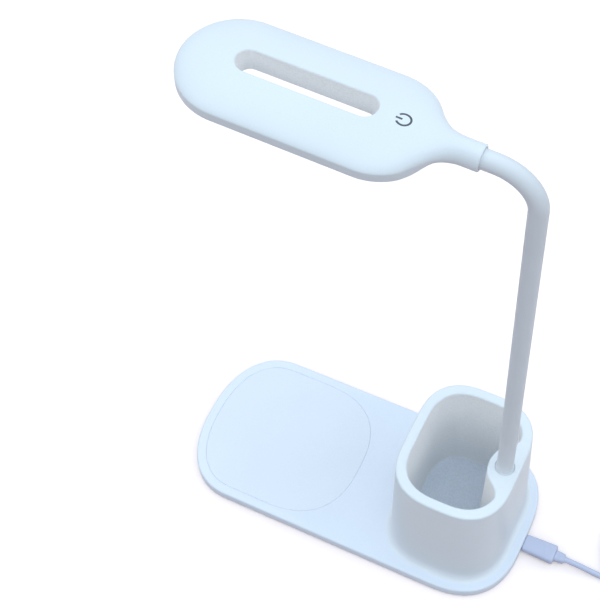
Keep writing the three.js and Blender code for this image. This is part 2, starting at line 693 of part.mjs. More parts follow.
// Light board with its chips in two rows and round the ends
function ledBoard() {
  const edge = 2 * gap;
  let plateSolid = cut(
    solid(bar(insideLength - 2 * edge, insideWidth - 2 * edge, led.level, ledTop)),
    solid(bar(skirtLength + 2 * gap, skirtWidth + 2 * gap, led.level - overrun, ledTop + overrun,
      slotMiddle)));
  const track = (halfWidth + slot.width / 2) / 2;
  const places = [];
  for (let i = 0; i < led.perSide; i++) {
    const u = endCentre * (2 * i / (led.perSide - 1) - 1);
    places.push([u, track, 0], [u, -track, 0]);
  }
  for (const end of mirrored) {
    for (const side of mirrored) {
      const angle = side * led.endAngle;
      const u = end * (endCentre + track * Math.cos(angle));
      places.push([u, track * Math.sin(angle), end * angle + Math.PI / 2]);
    }
  }
  for (const [u, v, turn] of places) {
    const light = block(-led.length / 2, led.length / 2, -led.width / 2, led.width / 2,
      -led.height, led.thickness / 2).rotateZ(turn).translate(u, v, led.level);
    plateSolid = plateSolid.add(solid(light));
  }
  return cut(plateSolid, ...headScrewPlaces.map((u) => solid(
    post(headScrew.shank + gap, led.level - overrun, ledTop + overrun, u, 0, 12))));
}

function touchBoard() {
  const low = ledTop + gap;
  const right = touchU + touch.fromSpring;
  return solid(block(right - touch.length, right, -touch.width / 2, touch.width / 2,
    low, low + touch.thickness));
}

function touchSpring() {
  const low = ledTop + 2 * gap + touch.thickness;
  const ceiling = ridgeAt(touchU, widthAt(touchU)) - head.wall;
  return tube(touch.springRadius, touch.springRadius - touch.springWall, low, ceiling - 2 * gap, 16)
    .translate(touchU, 0, 0);
}

// Lead and plugs

const plugStart = base.length / 2 + gap;
const plugEnd = plugStart + plug.length;
const reliefEnd = plugEnd + plug.reliefLength + plug.taper;
const coilLevel = cord.radius + tie.wall + tie.slack;

function sectionX(x, width, height, exponent, count = 20) {
  return Array.from({ length: count }, (_, i) => i / count * Math.PI * 2).map((angle) => new THREE.Vector3(x,
    port.y + width / 2 * power(Math.cos(angle), exponent),
    port.z + height / 2 * power(Math.sin(angle), exponent)));
}

const plugRing = (x, less) => sectionX(x, plug.width - less, plug.height - less, plug.squareness);

function plugBody() {
  const r = plug.round;
  return skin([
    plugRing(plugStart, r), plugRing(plugStart + r, 0), plugRing(plugEnd - r, 0),
    plugRing(plugEnd - r / 3, r / 2), plugRing(plugEnd, 1.5 * r),
  ]);
}

function strainRelief() {
  const from = plugEnd + gap / 3;
  const middle = plugEnd + plug.reliefLength;
  const ring = (x, less) => sectionX(x, plug.reliefWidth - less, plug.reliefHeight - less, plug.squareness);
  const thin = 2 * (cord.radius + gap);
  return skin([
    ring(from, 0), ring(middle - 2 * plug.groove, 0), ring(middle - plug.groove, plug.groove),
    ring(middle, plug.groove / 2), sectionX(reliefEnd, thin, thin, 2),
  ]);
}

// The lead's visible run: straight out of the relief, down to the table, then flat along it
function cordRoute() {
  const start = reliefEnd + gap;
  const landed = start + cord.drop;
  const at = (x, z) => new THREE.Vector3(x, port.y, z);
  const fallen = (share) => THREE.MathUtils.lerp(port.z, cord.radius, share);
  return new THREE.CatmullRomCurve3([
    at(start, port.z), at(start + cord.lead, port.z - gap / 6),
    at(start + cord.drop * sagShares.near, fallen(sagShares.nearDrop)),
    at(start + cord.drop * sagShares.far, fallen(sagShares.farDrop)), at(landed, cord.radius),
    at(coilX - 2 * cord.lead, coilLevel), at(coilX - cord.lead - gap, coilLevel),
  ], false, 'centripetal');
}

const coilY = port.y + cordCoil.outerRadius;

// The coil's middle line: in on the table, up half a turn, out again on top
function coilPoints() {
  const total = cordCoil.turnsIn + 0.5 + cordCoil.turnsOut;
  const count = Math.round(total * cordCoil.steps);
  const points = [new THREE.Vector3(coilX - cord.lead, port.y, coilLevel)];
  const back = cordCoil.turnsIn + 0.25;
  const at = (turn) => {
    const climb = smooth(share(turn, cordCoil.turnsIn, cordCoil.turnsIn + 0.5));
    const radius = cordCoil.outerRadius - cordCoil.pitch * (back - Math.abs(turn - back));
    const angle = turn * Math.PI * 2 - Math.PI / 2;
    return new THREE.Vector3(coilX + radius * Math.cos(angle), coilY + radius * Math.sin(angle),
      coilLevel + cordCoil.pitch * climb);
  };
  for (let i = 0; i <= count; i++) points.push(at(i / cordCoil.steps));
  const end = points[points.length - 1];
  points.push(new THREE.Vector3(end.x + cordCoil.tail, end.y, end.z));
  return points;
}

// A round tube along a list of points, with its ends square to the first and last step
function tubeAlong(points, radius, sides) {
  const n = points.length;
  const rings = points.map((p, i) => {
    const before = points[Math.max(0, i - 1)];
    const after = points[Math.min(n - 1, i + 1)];
    const along = after.clone().sub(before).normalize();
    const side = new THREE.Vector3(0, 0, 1).cross(along).normalize();
    const up = along.clone().cross(side);
    return Array.from({ length: sides }, (_, k) => (k + 0.5) / sides * Math.PI * 2).map((angle) => p.clone()
      .addScaledVector(side, radius * Math.cos(angle)).addScaledVector(up, radius * Math.sin(angle)));
  });
  return skin(rings);
}

// Least clear distance between turns of the coil, measured between points over half a turn apart
function leastSelfGap(points, radius) {
  let least = Infinity;
  const apart = cordCoil.steps / 2;
  for (let i = 0; i < points.length; i++) {
    for (let j = i + apart; j < points.length; j++) least = Math.min(least, points[i].distanceTo(points[j]));
  }
  return least - 2 * radius;
}

// Thin band round the turns on the coil's far side
function coilTie() {
  const reach = cordCoil.outerRadius + cord.radius + tie.slack;
  const inner = cordCoil.outerRadius - cordCoil.pitch * (cordCoil.turnsIn + 0.25) - cord.radius - tie.slack;
  const top = coilLevel + cordCoil.pitch + cord.radius + tie.slack;
  const band = (grow, half) => solid(block(coilX - half, coilX + half,
    coilY + inner - grow, coilY + reach + grow, tie.wall - grow, top + grow));
  return cut(band(tie.wall, tie.width / 2), band(0, tie.width));
}

const farStart = coilX + cordCoil.tail + gap;
const farY = coilY - cordCoil.outerRadius - cordCoil.pitch * (cordCoil.turnsOut - cordCoil.turnsIn);
const farZ = coilLevel + cordCoil.pitch;
const farBodyStart = farStart + farPlug.reliefLength + gap;
const farBodyEnd = farBodyStart + farPlug.length;

function farRelief() {
  const thin = cord.radius + gap;
  const wide = farPlug.reliefRadius;
  const profile = [
    new THREE.Vector2(0, 0), new THREE.Vector2(thin, 0), new THREE.Vector2(wide, farPlug.reliefLength),
    new THREE.Vector2(0, farPlug.reliefLength),
  ];
  return new THREE.LatheGeometry(profile, 16).rotateZ(-Math.PI / 2).translate(farStart, farY, farZ);
}

function farBody() {
  const r = farPlug.round;
  const at = (x, less) => sectionX(x, farPlug.width - less, farPlug.height - less, farPlug.squareness)
    .map((p) => p.add(new THREE.Vector3(0, farY - port.y, farZ - port.z)));
  return skin([at(farBodyStart, 2 * r), at(farBodyStart + r, 0), at(farBodyEnd - r, 0), at(farBodyEnd, r)]);
}

function farShell() {
  const box = (x0, x1, width, height) => solid(block(x0, x1, farY - width / 2, farY + width / 2,
    farZ - height / 2, farZ + height / 2));
  const end = farBodyEnd + farPlug.shellLength;
  const wall = farPlug.shellWall;
  const hollow = cut(box(farBodyEnd, end, farPlug.shellWidth, farPlug.shellHeight),
    box(farBodyEnd + wall, end + overrun, farPlug.shellWidth - 2 * wall, farPlug.shellHeight - 2 * wall));
  const tongue = solid(block(farBodyEnd + wall / 2, end - wall, farY - farPlug.shellWidth / 2 + wall / 2,
    farY + farPlug.shellWidth / 2 - wall / 2, farZ + farPlug.shellHeight / 2 - wall - farPlug.tongue,
    farZ + farPlug.shellHeight / 2 - wall / 2));
  return hollow.add(tongue);
}

// Circuit board under the cup, notched round the socket
const socketLeft = wallInside - port.depth;
const socketHalf = port.width / 2 + gap + port.wall;
const socketTall = port.height / 2 + gap + port.wall;

function mainBoard() {
  const plan = { left: boardLeft, right: boardRight, half: board.width / 2,
    leftRadius: board.corner, rightRadius: board.corner };
  const top = board.level + board.thickness;
  const blank = cut(solid(plate(plan, board.level, top, 2)),
    solid(block(socketLeft - gap, boardRight + overrun, port.y - socketHalf - gap,
      port.y + socketHalf + gap, board.level - overrun, top + overrun)));
  const onBoard = ({ fromEnd, y, length, width, height }) => solid(block(
    plateEnd - fromEnd - length / 2, plateEnd - fromEnd + length / 2,
    y - width / 2, y + width / 2, board.level + gap, top + height));
  return joined(blank, onBoard(chip), onBoard(driver), ...mirrored.map((side) => solid(post(
    inductor.radius, board.level + gap, top + inductor.height, plateEnd - inductor.fromEnd,
    side * inductor.y, 16))));
}

function socket() {
  const outer = block(socketLeft, wallInside - gap, port.y - socketHalf, port.y + socketHalf,
    port.z - socketTall, port.z + socketTall);
  const inside = block(socketLeft + port.wall, wallInside + overrun, port.y - socketHalf + port.wall,
    port.y + socketHalf - port.wall, port.z - socketTall + port.wall, port.z + socketTall - port.wall);
  return cut(solid(outer), solid(inside));
}

// Assembly of the base

const place = (mesh, x, y, z) => mesh.position.set(x, y, z);

add('base_top_cover', baseTopCover(), white);
add('base_bottom_cover', baseBottomCover(), satin);
add('charging_pad', plate(padPlan, baseTop - pad.thickness, baseTop), white);
add('charging_coil', new THREE.LatheGeometry(windingProfile(), 24).rotateX(Math.PI / 2)
  .translate(padCentre, 0, 0), copper);
add('ferrite_sheet', post(ferrite.radius, ferriteBottom, coilBottom, padCentre, 0, 24), dark);
add('ballast_plate', plate({
  left: basePlan.left + ballast.fromLeft, right: boardLeft - ballast.fromBoard,
  half: base.width / 2 - ballast.fromSide,
  leftRadius: ballast.corner, rightRadius: ballast.corner,
}, floorTop, ferriteBottom), steel);
add('main_board', mainBoard(), circuit);
add('usb_socket', socket(), steel);
footPlaces.forEach(([x, y], i) => place(add(`rubber_foot_${i + 1}`, footSolid(), dark), x, y, 0));
screwPlaces.forEach(([x, y], i) => place(
  add(`base_screw_${i + 1}`, screwSolid(screw), steel), x, y, screwBottom));
add('pen_holder', penHolder(), white);
holderScrewPlaces.forEach(([x, y], i) => place(
  add(`holder_screw_${i + 1}`, screwSolid(holderScrew), steel), x, y, cavityTop - holderScrew.headHeight));

// Assembly of the neck

place(add('neck_grommet', tube(grommetOuter, grommetInner, holderTop - grommet.depth, holderTop, 24), satin),
  neckX, 0, 0);
const sleeveStart = holderTop - neck.insert;
place(add('neck_ferrule', tube(neck.radius, neck.core + gap, ferruleBottom, sleeveStart, 16), steel),
  neckX, 0, 0);
for (let i = 0; i <= hinges.length; i++) {
  add(`neck_sleeve_${i}`, sleeveLink(i), sleeveLook);
  add(`neck_core_${i}`, coreLink(i), steel);
}

// Assembly of the head

const headAxis = new THREE.Vector3(Math.cos(tilt), 0, -Math.sin(tilt));
const headUp = new THREE.Vector3(Math.sin(tilt), 0, Math.cos(tilt));
headGroup.position.copy(neckPoint(neckLength))
  .addScaledVector(headAxis, -collarEnd).addScaledVector(headUp, -head.collarRise);
headGroup.rotation.y = tilt;
model.add(headGroup);

add('head_shell', headShell(), white, headGroup);
add('head_diffuser', headDiffuser(), frosted, headGroup);
add('led_board', ledBoard(), frosted, headGroup);
add('touch_board', touchBoard(), circuit, headGroup);
add('touch_spring', touchSpring(), steel, headGroup);
headScrewPlaces.forEach((u, i) => place(
  add(`head_screw_${i + 1}`, screwSolid(headScrew), steel, headGroup),
  u, 0, led.level - gap - headScrew.headHeight));
const sleeveEnd = neckLength + head.collarDepth;
const ferruleEnds = [sleeveEnd + gap, sleeveEnd + headFerrule.length];
const ferruleRadii = [neck.core + gap, neck.core + gap + headFerrule.wall];
add('head_ferrule', skin([
  neckRing(ferruleEnds[0], ferruleRadii[0]), neckRing(ferruleEnds[0], ferruleRadii[1]),
  neckRing(ferruleEnds[1], ferruleRadii[1]), neckRing(ferruleEnds[1], ferruleRadii[0]),
], true), steel);

// Assembly of the lead

const tipStart = base.length / 2 - plug.tipInset;
add('usb_plug_tip', block(tipStart, plugStart, port.y - port.width / 2, port.y + port.width / 2,
  port.z - port.height / 2, port.z + port.height / 2), steel);
add('usb_plug_body', plugBody(), leadLook);
add('usb_strain_relief', strainRelief(), leadLook);
add('usb_cord', tubeAlong(cordRoute().getSpacedPoints(cord.steps), cord.radius, cord.sides), leadLook);
const turns = coilPoints();
add('usb_cord_coil', tubeAlong(turns, cord.radius, cordCoil.sides), leadLook);
add('coil_tie', coilTie(), dark);
add('supply_relief', farRelief(), leadLook);
add('supply_plug_body', farBody(), leadLook);
add('supply_plug_shell', farShell(), steel);

const clear = leastSelfGap(turns, cord.radius);
console.log(`The coiled lead keeps ${clear.toFixed(2)} mm clear of itself.`);
hinges.forEach((s, i) => {
  const p = neckPoint(s);
  console.log(`Hinge ${i + 1} of the neck is at x ${p.x.toFixed(2)}, z ${p.z.toFixed(2)}.`);
});

export default model;
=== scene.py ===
"""A desk lamp with a flexible neck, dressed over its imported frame.

A slotted light head on a sleeved gooseneck stands on a thin base plate that carries a charging pad
at one end and a pen holder at the other. A supply lead leaves the base at the pen holder's end.
Every shape is worked out in millimetres in the frame of the CAD model and becomes metres when it
is finished. +X points from the charging pad to the pen holder, +Y is the far side, +Z is up.
"""

import logging
import math
from dataclasses import dataclass, field, replace
from enum import Enum
from typing import Callable, Iterable, Sequence

import bmesh
import bpy
from mathutils import Matrix, Vector

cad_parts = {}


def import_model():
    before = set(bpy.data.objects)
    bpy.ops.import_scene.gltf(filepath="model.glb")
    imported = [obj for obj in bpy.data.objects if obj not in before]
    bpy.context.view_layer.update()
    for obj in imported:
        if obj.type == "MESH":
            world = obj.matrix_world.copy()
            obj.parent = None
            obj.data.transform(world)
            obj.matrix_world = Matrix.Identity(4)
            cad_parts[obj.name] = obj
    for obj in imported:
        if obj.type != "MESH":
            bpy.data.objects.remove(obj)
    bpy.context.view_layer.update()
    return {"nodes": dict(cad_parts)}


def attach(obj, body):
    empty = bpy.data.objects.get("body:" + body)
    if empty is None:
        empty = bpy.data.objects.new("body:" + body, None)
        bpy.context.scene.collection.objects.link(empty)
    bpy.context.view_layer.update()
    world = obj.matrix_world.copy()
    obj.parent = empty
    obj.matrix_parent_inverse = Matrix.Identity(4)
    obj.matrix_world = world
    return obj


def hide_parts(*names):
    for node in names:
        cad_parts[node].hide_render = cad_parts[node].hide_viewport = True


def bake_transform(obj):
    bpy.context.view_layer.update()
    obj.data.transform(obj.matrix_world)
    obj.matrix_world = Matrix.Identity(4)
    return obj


log = logging.getLogger("desk_lamp")

Rgb = tuple[float, float, float]
Ring = list[Vector]
Step = tuple[float, float]

MM = 0.001
SQUARENESS = 2.6
SHARP_EDGE = math.radians(38)
WHITE = (1.0, 1.0, 1.0, 1.0)

# Distances in millimetres under which corners are one and a face is a sliver

SAME_PLACE = 0.002
THINNEST = 0.0005
FINEST = 1e-4


def share(value: float, start: float, end: float) -> float:
    """How far value has come from start to end, from 0 to 1."""
    return min(1.0, max(0.0, (value - start) / (end - start)))


def smooth(part: float) -> float:
    """A share from 0 to 1 that starts and ends gently."""
    return part * part * (3 - 2 * part)


def lerp(low: float, high: float, part: float) -> float:
    """The value at that share of the way from low to high."""
    return low + (high - low) * part


def quarter_turn(count: int) -> list[float]:
    """Angles from nothing to a quarter turn, with that many steps between them."""
    return [index / count * math.pi / 2 for index in range(count + 1)]


def full_turn(count: int) -> list[float]:
    """Angles of that many points all the way round."""
    return [index / count * math.tau for index in range(count)]


def pulled(a: Vector, b: Vector, c: Vector, d: Vector, count: int) -> list[Vector]:
    """Points of the cubic curve from a to d that b and c pull, with that many steps."""
    line = []
    for index in range(count + 1):
        t = index / count
        line.append(
            a * (1 - t) ** 3 + b * 3 * t * (1 - t) ** 2 + c * 3 * t * t * (1 - t) + d * t ** 3)
    return line


def power(value: float, exponent: float) -> float:
    """A sine or cosine drawn out to a soft corner, with its sign kept."""
    return math.copysign(abs(value) ** (2 / exponent), value)


def round_over(radius: float, top: float, drawn_in: float = 0.0, count: int = 6) -> list[Step]:
    """Steps of a rounded edge that ends flush with a top face.

    Args:
        radius: Radius of the edge.
        top: Height of the top face.
        drawn_in: How far the wall below already stands inside the outline.
        count: Number of spans round the edge.

    Returns:
        Pairs of how far the outline is drawn in and its height, from the wall up.
    """
    return [
        (drawn_in + radius * (1 - math.cos(a)), top - radius * (1 - math.sin(a)))
        for a in quarter_turn(count)
    ]


# Outlines in plan


@dataclass(frozen=True)
class Outline:
    """A closed line in plan, as points in order."""

    points: tuple[Step, ...]

    def evenly(self, count: int) -> "Outline":
        """The same line with that many points at equal distances, from the same first point."""
        line = [Vector(p) for p in self.points] + [Vector(self.points[0])]
        reach = [0.0]
        for here, there in zip(line, line[1:]):
            reach.append(reach[-1] + (there - here).length)
        even: list[Step] = []
        span = 0
        for index in range(count):
            goal = reach[-1] * index / count
            while reach[span + 1] < goal:
                span += 1
            part = (goal - reach[span]) / max(1e-9, reach[span + 1] - reach[span])
            even.append(tuple(line[span].lerp(line[span + 1], part)))
        return Outline(tuple(even))

    def inward(self) -> list[Vector]:
        """Unit vectors that point into the outline, one for each point."""
        count = len(self.points)
        arrows = []
        for index in range(count):
            before = Vector(self.points[index - 1])
            after = Vector(self.points[(index + 1) % count])
            along = (after - before).normalized()
            arrows.append(Vector((-along.y, along.x)))
        return arrows

    def drawn_in(self, by: float, give: Sequence[float] | None = None) -> "Outline":
        """The line moved inwards, at each point by its share of the distance if give has them."""
        shares = give or [1.0] * len(self.points)
        moved = [
            tuple(Vector(p) + arrow * (by * part))
            for p, arrow, part in zip(self.points, self.inward(), shares)
        ]
        return Outline(tuple(moved))

    def at(self, height: float) -> Ring:
        """The line as a level ring at that height."""
        return [Vector((x, y, height)) for x, y in self.points]


def holds(points: Sequence[Step], x: float, y: float) -> bool:
    """Whether a closed line in plan goes round the point."""
    inside = False
    for (x0, y0), (x1, y1) in zip(points, [*points[1:], points[0]]):
        if (y0 > y) != (y1 > y) and x < x0 + (y - y0) / (y1 - y0) * (x1 - x0):
            inside = not inside
    return inside


@dataclass(frozen=True)
class SoftPlan:
    """A soft rectangle in plan, in millimetres, whose left corners may be shorter than deep."""

    left: float
    right: float
    half: float
    left_radius: float
    right_radius: float
    left_reach: float = math.inf
    left_squareness: float = SQUARENESS
    right_squareness: float = SQUARENESS

    def outline(self, by: float = 0.0, count: int = 320) -> Outline:
        """The rectangle's line, drawn in by a distance, with evenly spaced points.

        Args:
            by: How far each side is drawn in.
            count: Number of points.

        Returns:
            The outline, counterclockwise from the middle of its right side.
        """
        left, right, half = self.left + by, self.right - by, self.half - by
        line: list[Step] = [(right, 0.0)]
        fine = 90
        at_right = (right, self.right_radius - by, math.inf, self.right_squareness)
        at_left = (left, self.left_radius - by, self.left_reach - by, self.left_squareness)
        corners = ((at_right, 1), (at_left, 1), (at_left, -1), (at_right, -1))
        for quarter, ((x, wanted, longest, squareness), side) in enumerate(corners):
            radius = min(wanted, half)
            reach = min(radius, longest)
            inward = -reach if quarter in (0, 3) else reach
            for index in range(fine + 1):
                angle = (quarter + index / fine) * math.pi / 2
                point = (
                    x + inward + reach * power(math.cos(angle), squareness),
                    side * (half - radius) + radius * power(math.sin(angle), squareness),
                )
                if math.dist(point, line[-1]) > FINEST:
                    line.append(point)
        return Outline(tuple(line)).evenly(count)


@dataclass(frozen=True)
class RoundBar:
    """A round-ended bar in plan, in millimetres."""

    length: float
    width: float
    centre: float = 0.0
    off: float = 0.0
    around: int = 36
    along: int = 24

    def outline(self, by: float = 0.0) -> Outline:
        """The bar's line drawn in by a distance, with the same number of points for every bar."""
        radius = self.width / 2 - by
        straight = self.length / 2 - self.width / 2
        line: list[Step] = []
        for end in (1, -1):
            for index in range(self.around + 1):
                angle = (index / self.around - 0.5) * math.pi
                line.append((
                    self.centre + end * (straight + radius * math.cos(angle)),
                    self.off + end * radius * math.sin(angle),
                ))
            for index in range(1, self.along):
                x = end * straight * (1 - 2 * index / self.along)
                line.append((self.centre + x, self.off + end * radius))
        return Outline(tuple(line))


# Meshes in the making


def edges_of(verts: Iterable[bmesh.types.BMVert]) -> list[bmesh.types.BMEdge]:
    """All edges at some corners, each once and always in the same order."""
    return list(dict.fromkeys(edge for vert in verts for edge in vert.link_edges))


class Skin:
    """A mesh in the making, skinned over rings of equally many points, in millimetres."""

    def __init__(self) -> None:
        """Starts an empty mesh whose corners remember their place in a ring."""
        self.mesh = bmesh.new()
        self.place = self.mesh.verts.layers.int.new("place")

    def ring(self, points: Ring) -> list[bmesh.types.BMEdge]:
        """Adds a closed ring through the points and returns its edges."""
        count = len(points)
        made = bmesh.ops.create_circle(self.mesh, segments=count, radius=1.0)["verts"]
        for vert in made:
            vert[self.place] = round(math.atan2(-vert.co.x, vert.co.y) / math.tau * count) % count
        for vert in made:
            vert.co = points[vert[self.place]]
        return edges_of(made)

    def carry(self, edges: list[bmesh.types.BMEdge], points: Ring) -> list[bmesh.types.BMEdge]:
        """Extrudes a ring of edges to new points and returns the new ring's edges."""
        grown = bmesh.ops.extrude_edge_only(self.mesh, edges=edges)["geom"]
        fresh = [item for item in grown if isinstance(item, bmesh.types.BMVert)]
        for vert in fresh:
            vert.co = points[vert[self.place]]
        new = set(fresh)
        return [edge for edge in edges_of(fresh) if set(edge.verts) <= new]

    def loft(
        self, rings: Sequence[Ring], closed: bool = False, caps: tuple[bool, bool] = (True, True)
    ) -> tuple[list[bmesh.types.BMEdge], list[bmesh.types.BMEdge]]:
        """Skins the rings in order.

        Args:
            rings: Rings of equally many points.
            closed: Whether the last ring runs back into the first.
            caps: Whether the first and the last ring are filled, where it isn't closed.

        Returns:
            The edges of the first and of the last ring.
        """
        first = last = self.ring(rings[0])
        for points in rings[1:]:
            last = self.carry(last, points)
        if closed:
            bmesh.ops.bridge_loops(self.mesh, edges=first + last)
        else:
            for wanted, edges in zip(caps, (first, last)):
                if wanted:
                    bmesh.ops.edgeloop_fill(self.mesh, edges=edges)
        return first, last

    def turned(
        self, profile: Sequence[Step], middle: Vector, steps: int = 48, closed: bool = False
    ) -> "Skin":
        """Spins a profile of (radius, height) about an upright axis through middle.

        Args:
            profile: Points from one end of the profile to the other.
            middle: A point on the axis, which the heights are measured from.
            steps: Number of spans round the axis.
            closed: Whether the profile runs back into its first point.

        Returns:
            This mesh.
        """
        corners = [self.mesh.verts.new(middle + Vector((r, 0, z))) for r, z in profile]
        pairs = list(zip(corners, corners[1:])) + ([(corners[-1], corners[0])] if closed else [])
        edges = [self.mesh.edges.new(pair) for pair in pairs]
        bmesh.ops.spin(
            self.mesh, geom=corners + edges, cent=middle, axis=(0, 0, 1), angle=math.tau,
            steps=steps, use_merge=True, use_normal_flip=False, use_duplicate=False,
        )
        bmesh.ops.remove_doubles(self.mesh, verts=self.mesh.verts, dist=FINEST)
        return self

    def block(self, low: Sequence[float], high: Sequence[float]) -> list[bmesh.types.BMVert]:
        """Adds a box between two corners and returns its corners."""
        size = [b - a for a, b in zip(low, high)]
        made = bmesh.ops.create_cube(self.mesh, size=1.0)["verts"]
        bmesh.ops.scale(self.mesh, vec=size, verts=made)
        middle = [(a + b) / 2 for a, b in zip(low, high)]
        bmesh.ops.translate(self.mesh, vec=middle, verts=made)
        return made

    def moved(self, matrix: Matrix) -> "Skin":
        """Moves the whole mesh by a matrix."""
        bmesh.ops.transform(self.mesh, matrix=matrix, verts=self.mesh.verts)
        return self

    def done(self, name: str) -> bpy.types.Object:
        """Faces everything outwards and makes an object of it, still in millimetres."""
        bmesh.ops.recalc_face_normals(self.mesh, faces=self.mesh.faces)
        if self.mesh.calc_volume(signed=True) < 0:
            bmesh.ops.reverse_faces(self.mesh, faces=self.mesh.faces)
        data = bpy.data.meshes.new(name)
        self.mesh.to_mesh(data)
        self.mesh.free()
        piece = bpy.data.objects.new(name, data)
        bpy.context.scene.collection.objects.link(piece)
        return piece


def solid(name: str, rings: Sequence[Ring], closed: bool = False) -> bpy.types.Object:
    """A solid skinned over rings, filled at both ends or run back into its first ring."""
    skin = Skin()
    skin.loft(rings, closed)
    return skin.done(name)


def stacked(
    name: str, plan: SoftPlan, steps: Sequence[Step], count: int = 320
) -> bpy.types.Object:
    """A solid of level outlines, each drawn in by a distance at a height."""
    return solid(name, [plan.outline(by, count).at(height) for by, height in steps])


def spun(
    name: str, profile: Sequence[Step], middle: Vector, steps: int = 48, closed: bool = False
) -> bpy.types.Object:
    """A solid spun from a profile of (radius, height) about an upright axis through middle."""
    return Skin().turned(profile, middle, steps, closed).done(name)


class Join(Enum):
    """How one solid is worked into another."""

    CUT = "DIFFERENCE"
    ADD = "UNION"


def work_in(piece: bpy.types.Object, tool: bpy.types.Object, how: Join = Join.CUT) -> None:
    """Cuts a tool out of a piece, or adds it to the piece, and removes the tool."""
    step = piece.modifiers.new(how.name, "BOOLEAN")
    step.object, step.operation, step.solver = tool, how.value, "EXACT"
    bpy.context.view_layer.update()
    worked = bpy.data.meshes.new_from_object(
        piece.evaluated_get(bpy.context.evaluated_depsgraph_get()))
    piece.modifiers.clear()
    old, piece.data = piece.data, worked
    bpy.data.meshes.remove(old)
    bpy.data.meshes.remove(tool.data)


def straighten(piece: bpy.types.Object, most: float = math.radians(4)) -> None:
    """Takes out the corners that a cut leaves on a nearly straight edge between two faces."""
    work = bmesh.new()
    work.from_mesh(piece.data)
    spare = []
    for corner in work.verts:
        if len(corner.link_edges) == 2:
            a, b = (edge.other_vert(corner).co - corner.co for edge in corner.link_edges)
            if math.pi - a.angle(b, math.pi) < most:
                spare.append(corner)
    bmesh.ops.dissolve_verts(work, verts=spare)
    work.to_mesh(piece.data)
    work.free()


class Slot(Enum):
    """Material slots of the record, listed with the new pieces."""

    HOUSING = "housing"
    UNDER_COVER = "under_cover"
    STEEL = "steel"
    DIFFUSER = "diffuser"
    SLEEVE = "sleeve"
    RUBBER = "foot_rubber"
    LEAD = "lead"


# Finishes


class Bench:
    """Adds and joins the nodes of one material or of the world."""

    def __init__(self, tree: bpy.types.NodeTree) -> None:
        """Starts with the nodes that the tree holds."""
        self.tree = tree

    def node(self, kind: str, **settings: object) -> bpy.types.Node:
        """Adds a node and sets its properties."""
        made = self.tree.nodes.new(kind)
        for key, value in settings.items():
            setattr(made, key, value)
        return made

    def give(self, socket: bpy.types.NodeSocket, value: object) -> None:
        """Sets an input, or joins it where the value is another node's output."""
        if isinstance(value, bpy.types.NodeSocket):
            self.tree.links.new(value, socket)
        else:
            socket.default_value = value

    def feed(self, node: bpy.types.Node, **values: object) -> None:
        """Sets or joins inputs of a node, whose names have _ for each space."""
        for key, value in values.items():
            self.give(node.inputs[key.replace("_", " ")], value)

    def where(
        self, location: Sequence[float] = (0, 0, 0), rotation: Sequence[float] = (0, 0, 0),
        scale: Sequence[float] = (1, 1, 1),
    ) -> bpy.types.NodeSocket:
        """The place on the object in metres, moved, turned and scaled."""
        place = self.node("ShaderNodeMapping")
        self.feed(
            place, Vector=self.node("ShaderNodeTexCoord").outputs["Object"],
            Location=location, Rotation=rotation, Scale=scale,
        )
        return place.outputs["Vector"]

    def noise(
        self, vector: bpy.types.NodeSocket, scale: float, detail: float = 2.0, rough: float = 0.5
    ) -> bpy.types.NodeSocket:
        """A cloudy value from 0 to 1."""
        cloud = self.node("ShaderNodeTexNoise")
        self.feed(cloud, Vector=vector, Scale=scale, Detail=detail, Roughness=rough)
        return cloud.outputs["Fac"]

    def spread(
        self, value: bpy.types.NodeSocket, low: float, high: float,
        start: float = 0.3, end: float = 0.7,
    ) -> bpy.types.NodeSocket:
        """A value between start and end, spread from low to high."""
        node = self.node("ShaderNodeMapRange")
        self.feed(node, Value=value, From_Min=start, From_Max=end, To_Min=low, To_Max=high)
        return node.outputs["Result"]

    def tones(
        self, value: bpy.types.NodeSocket, stops: Sequence[tuple[float, Rgb]]
    ) -> bpy.types.NodeSocket:
        """A colour picked along a ramp of stops."""
        node = self.node("ShaderNodeValToRGB")
        ramp = node.color_ramp
        while len(ramp.elements) < len(stops):
            ramp.elements.new(1.0)
        for element, (position, colour) in zip(ramp.elements, stops):
            element.position, element.color = position, (*colour, 1.0)
        self.feed(node, Fac=value)
        return node.outputs["Color"]

    def mixed(
        self, first: object, second: object, factor: object, kind: str = "MIX"
    ) -> bpy.types.NodeSocket:
        """Two colours mixed by a factor, each of the three a value or another node's output."""
        node = self.node("ShaderNodeMix", data_type="RGBA", blend_type=kind)
        for place, value in ((0, factor), (6, first), (7, second)):
            self.give(node.inputs[place], value)
        return node.outputs[2]

    def parts(self, vector: bpy.types.NodeSocket) -> dict[str, bpy.types.NodeSocket]:
        """The three parts of a vector by their letters."""
        node = self.node("ShaderNodeSeparateXYZ")
        self.feed(node, Vector=vector)
        return {letter: node.outputs[letter] for letter in "XYZ"}

    def seen(self) -> bpy.types.NodeSocket:
        """1 for camera, glossy and transmission rays and 0 for the rest."""
        path = self.node("ShaderNodeLightPath")
        total = path.outputs["Is Camera Ray"]
        for name in ("Is Glossy Ray", "Is Transmission Ray"):
            either = self.node("ShaderNodeMath", operation="MAXIMUM")
            self.give(either.inputs[0], total)
            self.give(either.inputs[1], path.outputs[name])
            total = either.outputs[0]
        return total

    def relief(
        self, height: bpy.types.NodeSocket, strength: float, distance: float,
        over: bpy.types.NodeSocket | None = None,
    ) -> bpy.types.NodeSocket:
        """A bumped normal, laid over another one if it is given."""
        node = self.node("ShaderNodeBump")
        self.feed(node, Height=height, Strength=strength, Distance=distance)
        if over is not None:
            self.feed(node, Normal=over)
        return node.outputs["Normal"]

    def shade(self, **values: object) -> None:
        """Sets or joins inputs of the main shader."""
        self.feed(self.tree.nodes["Principled BSDF"], **values)


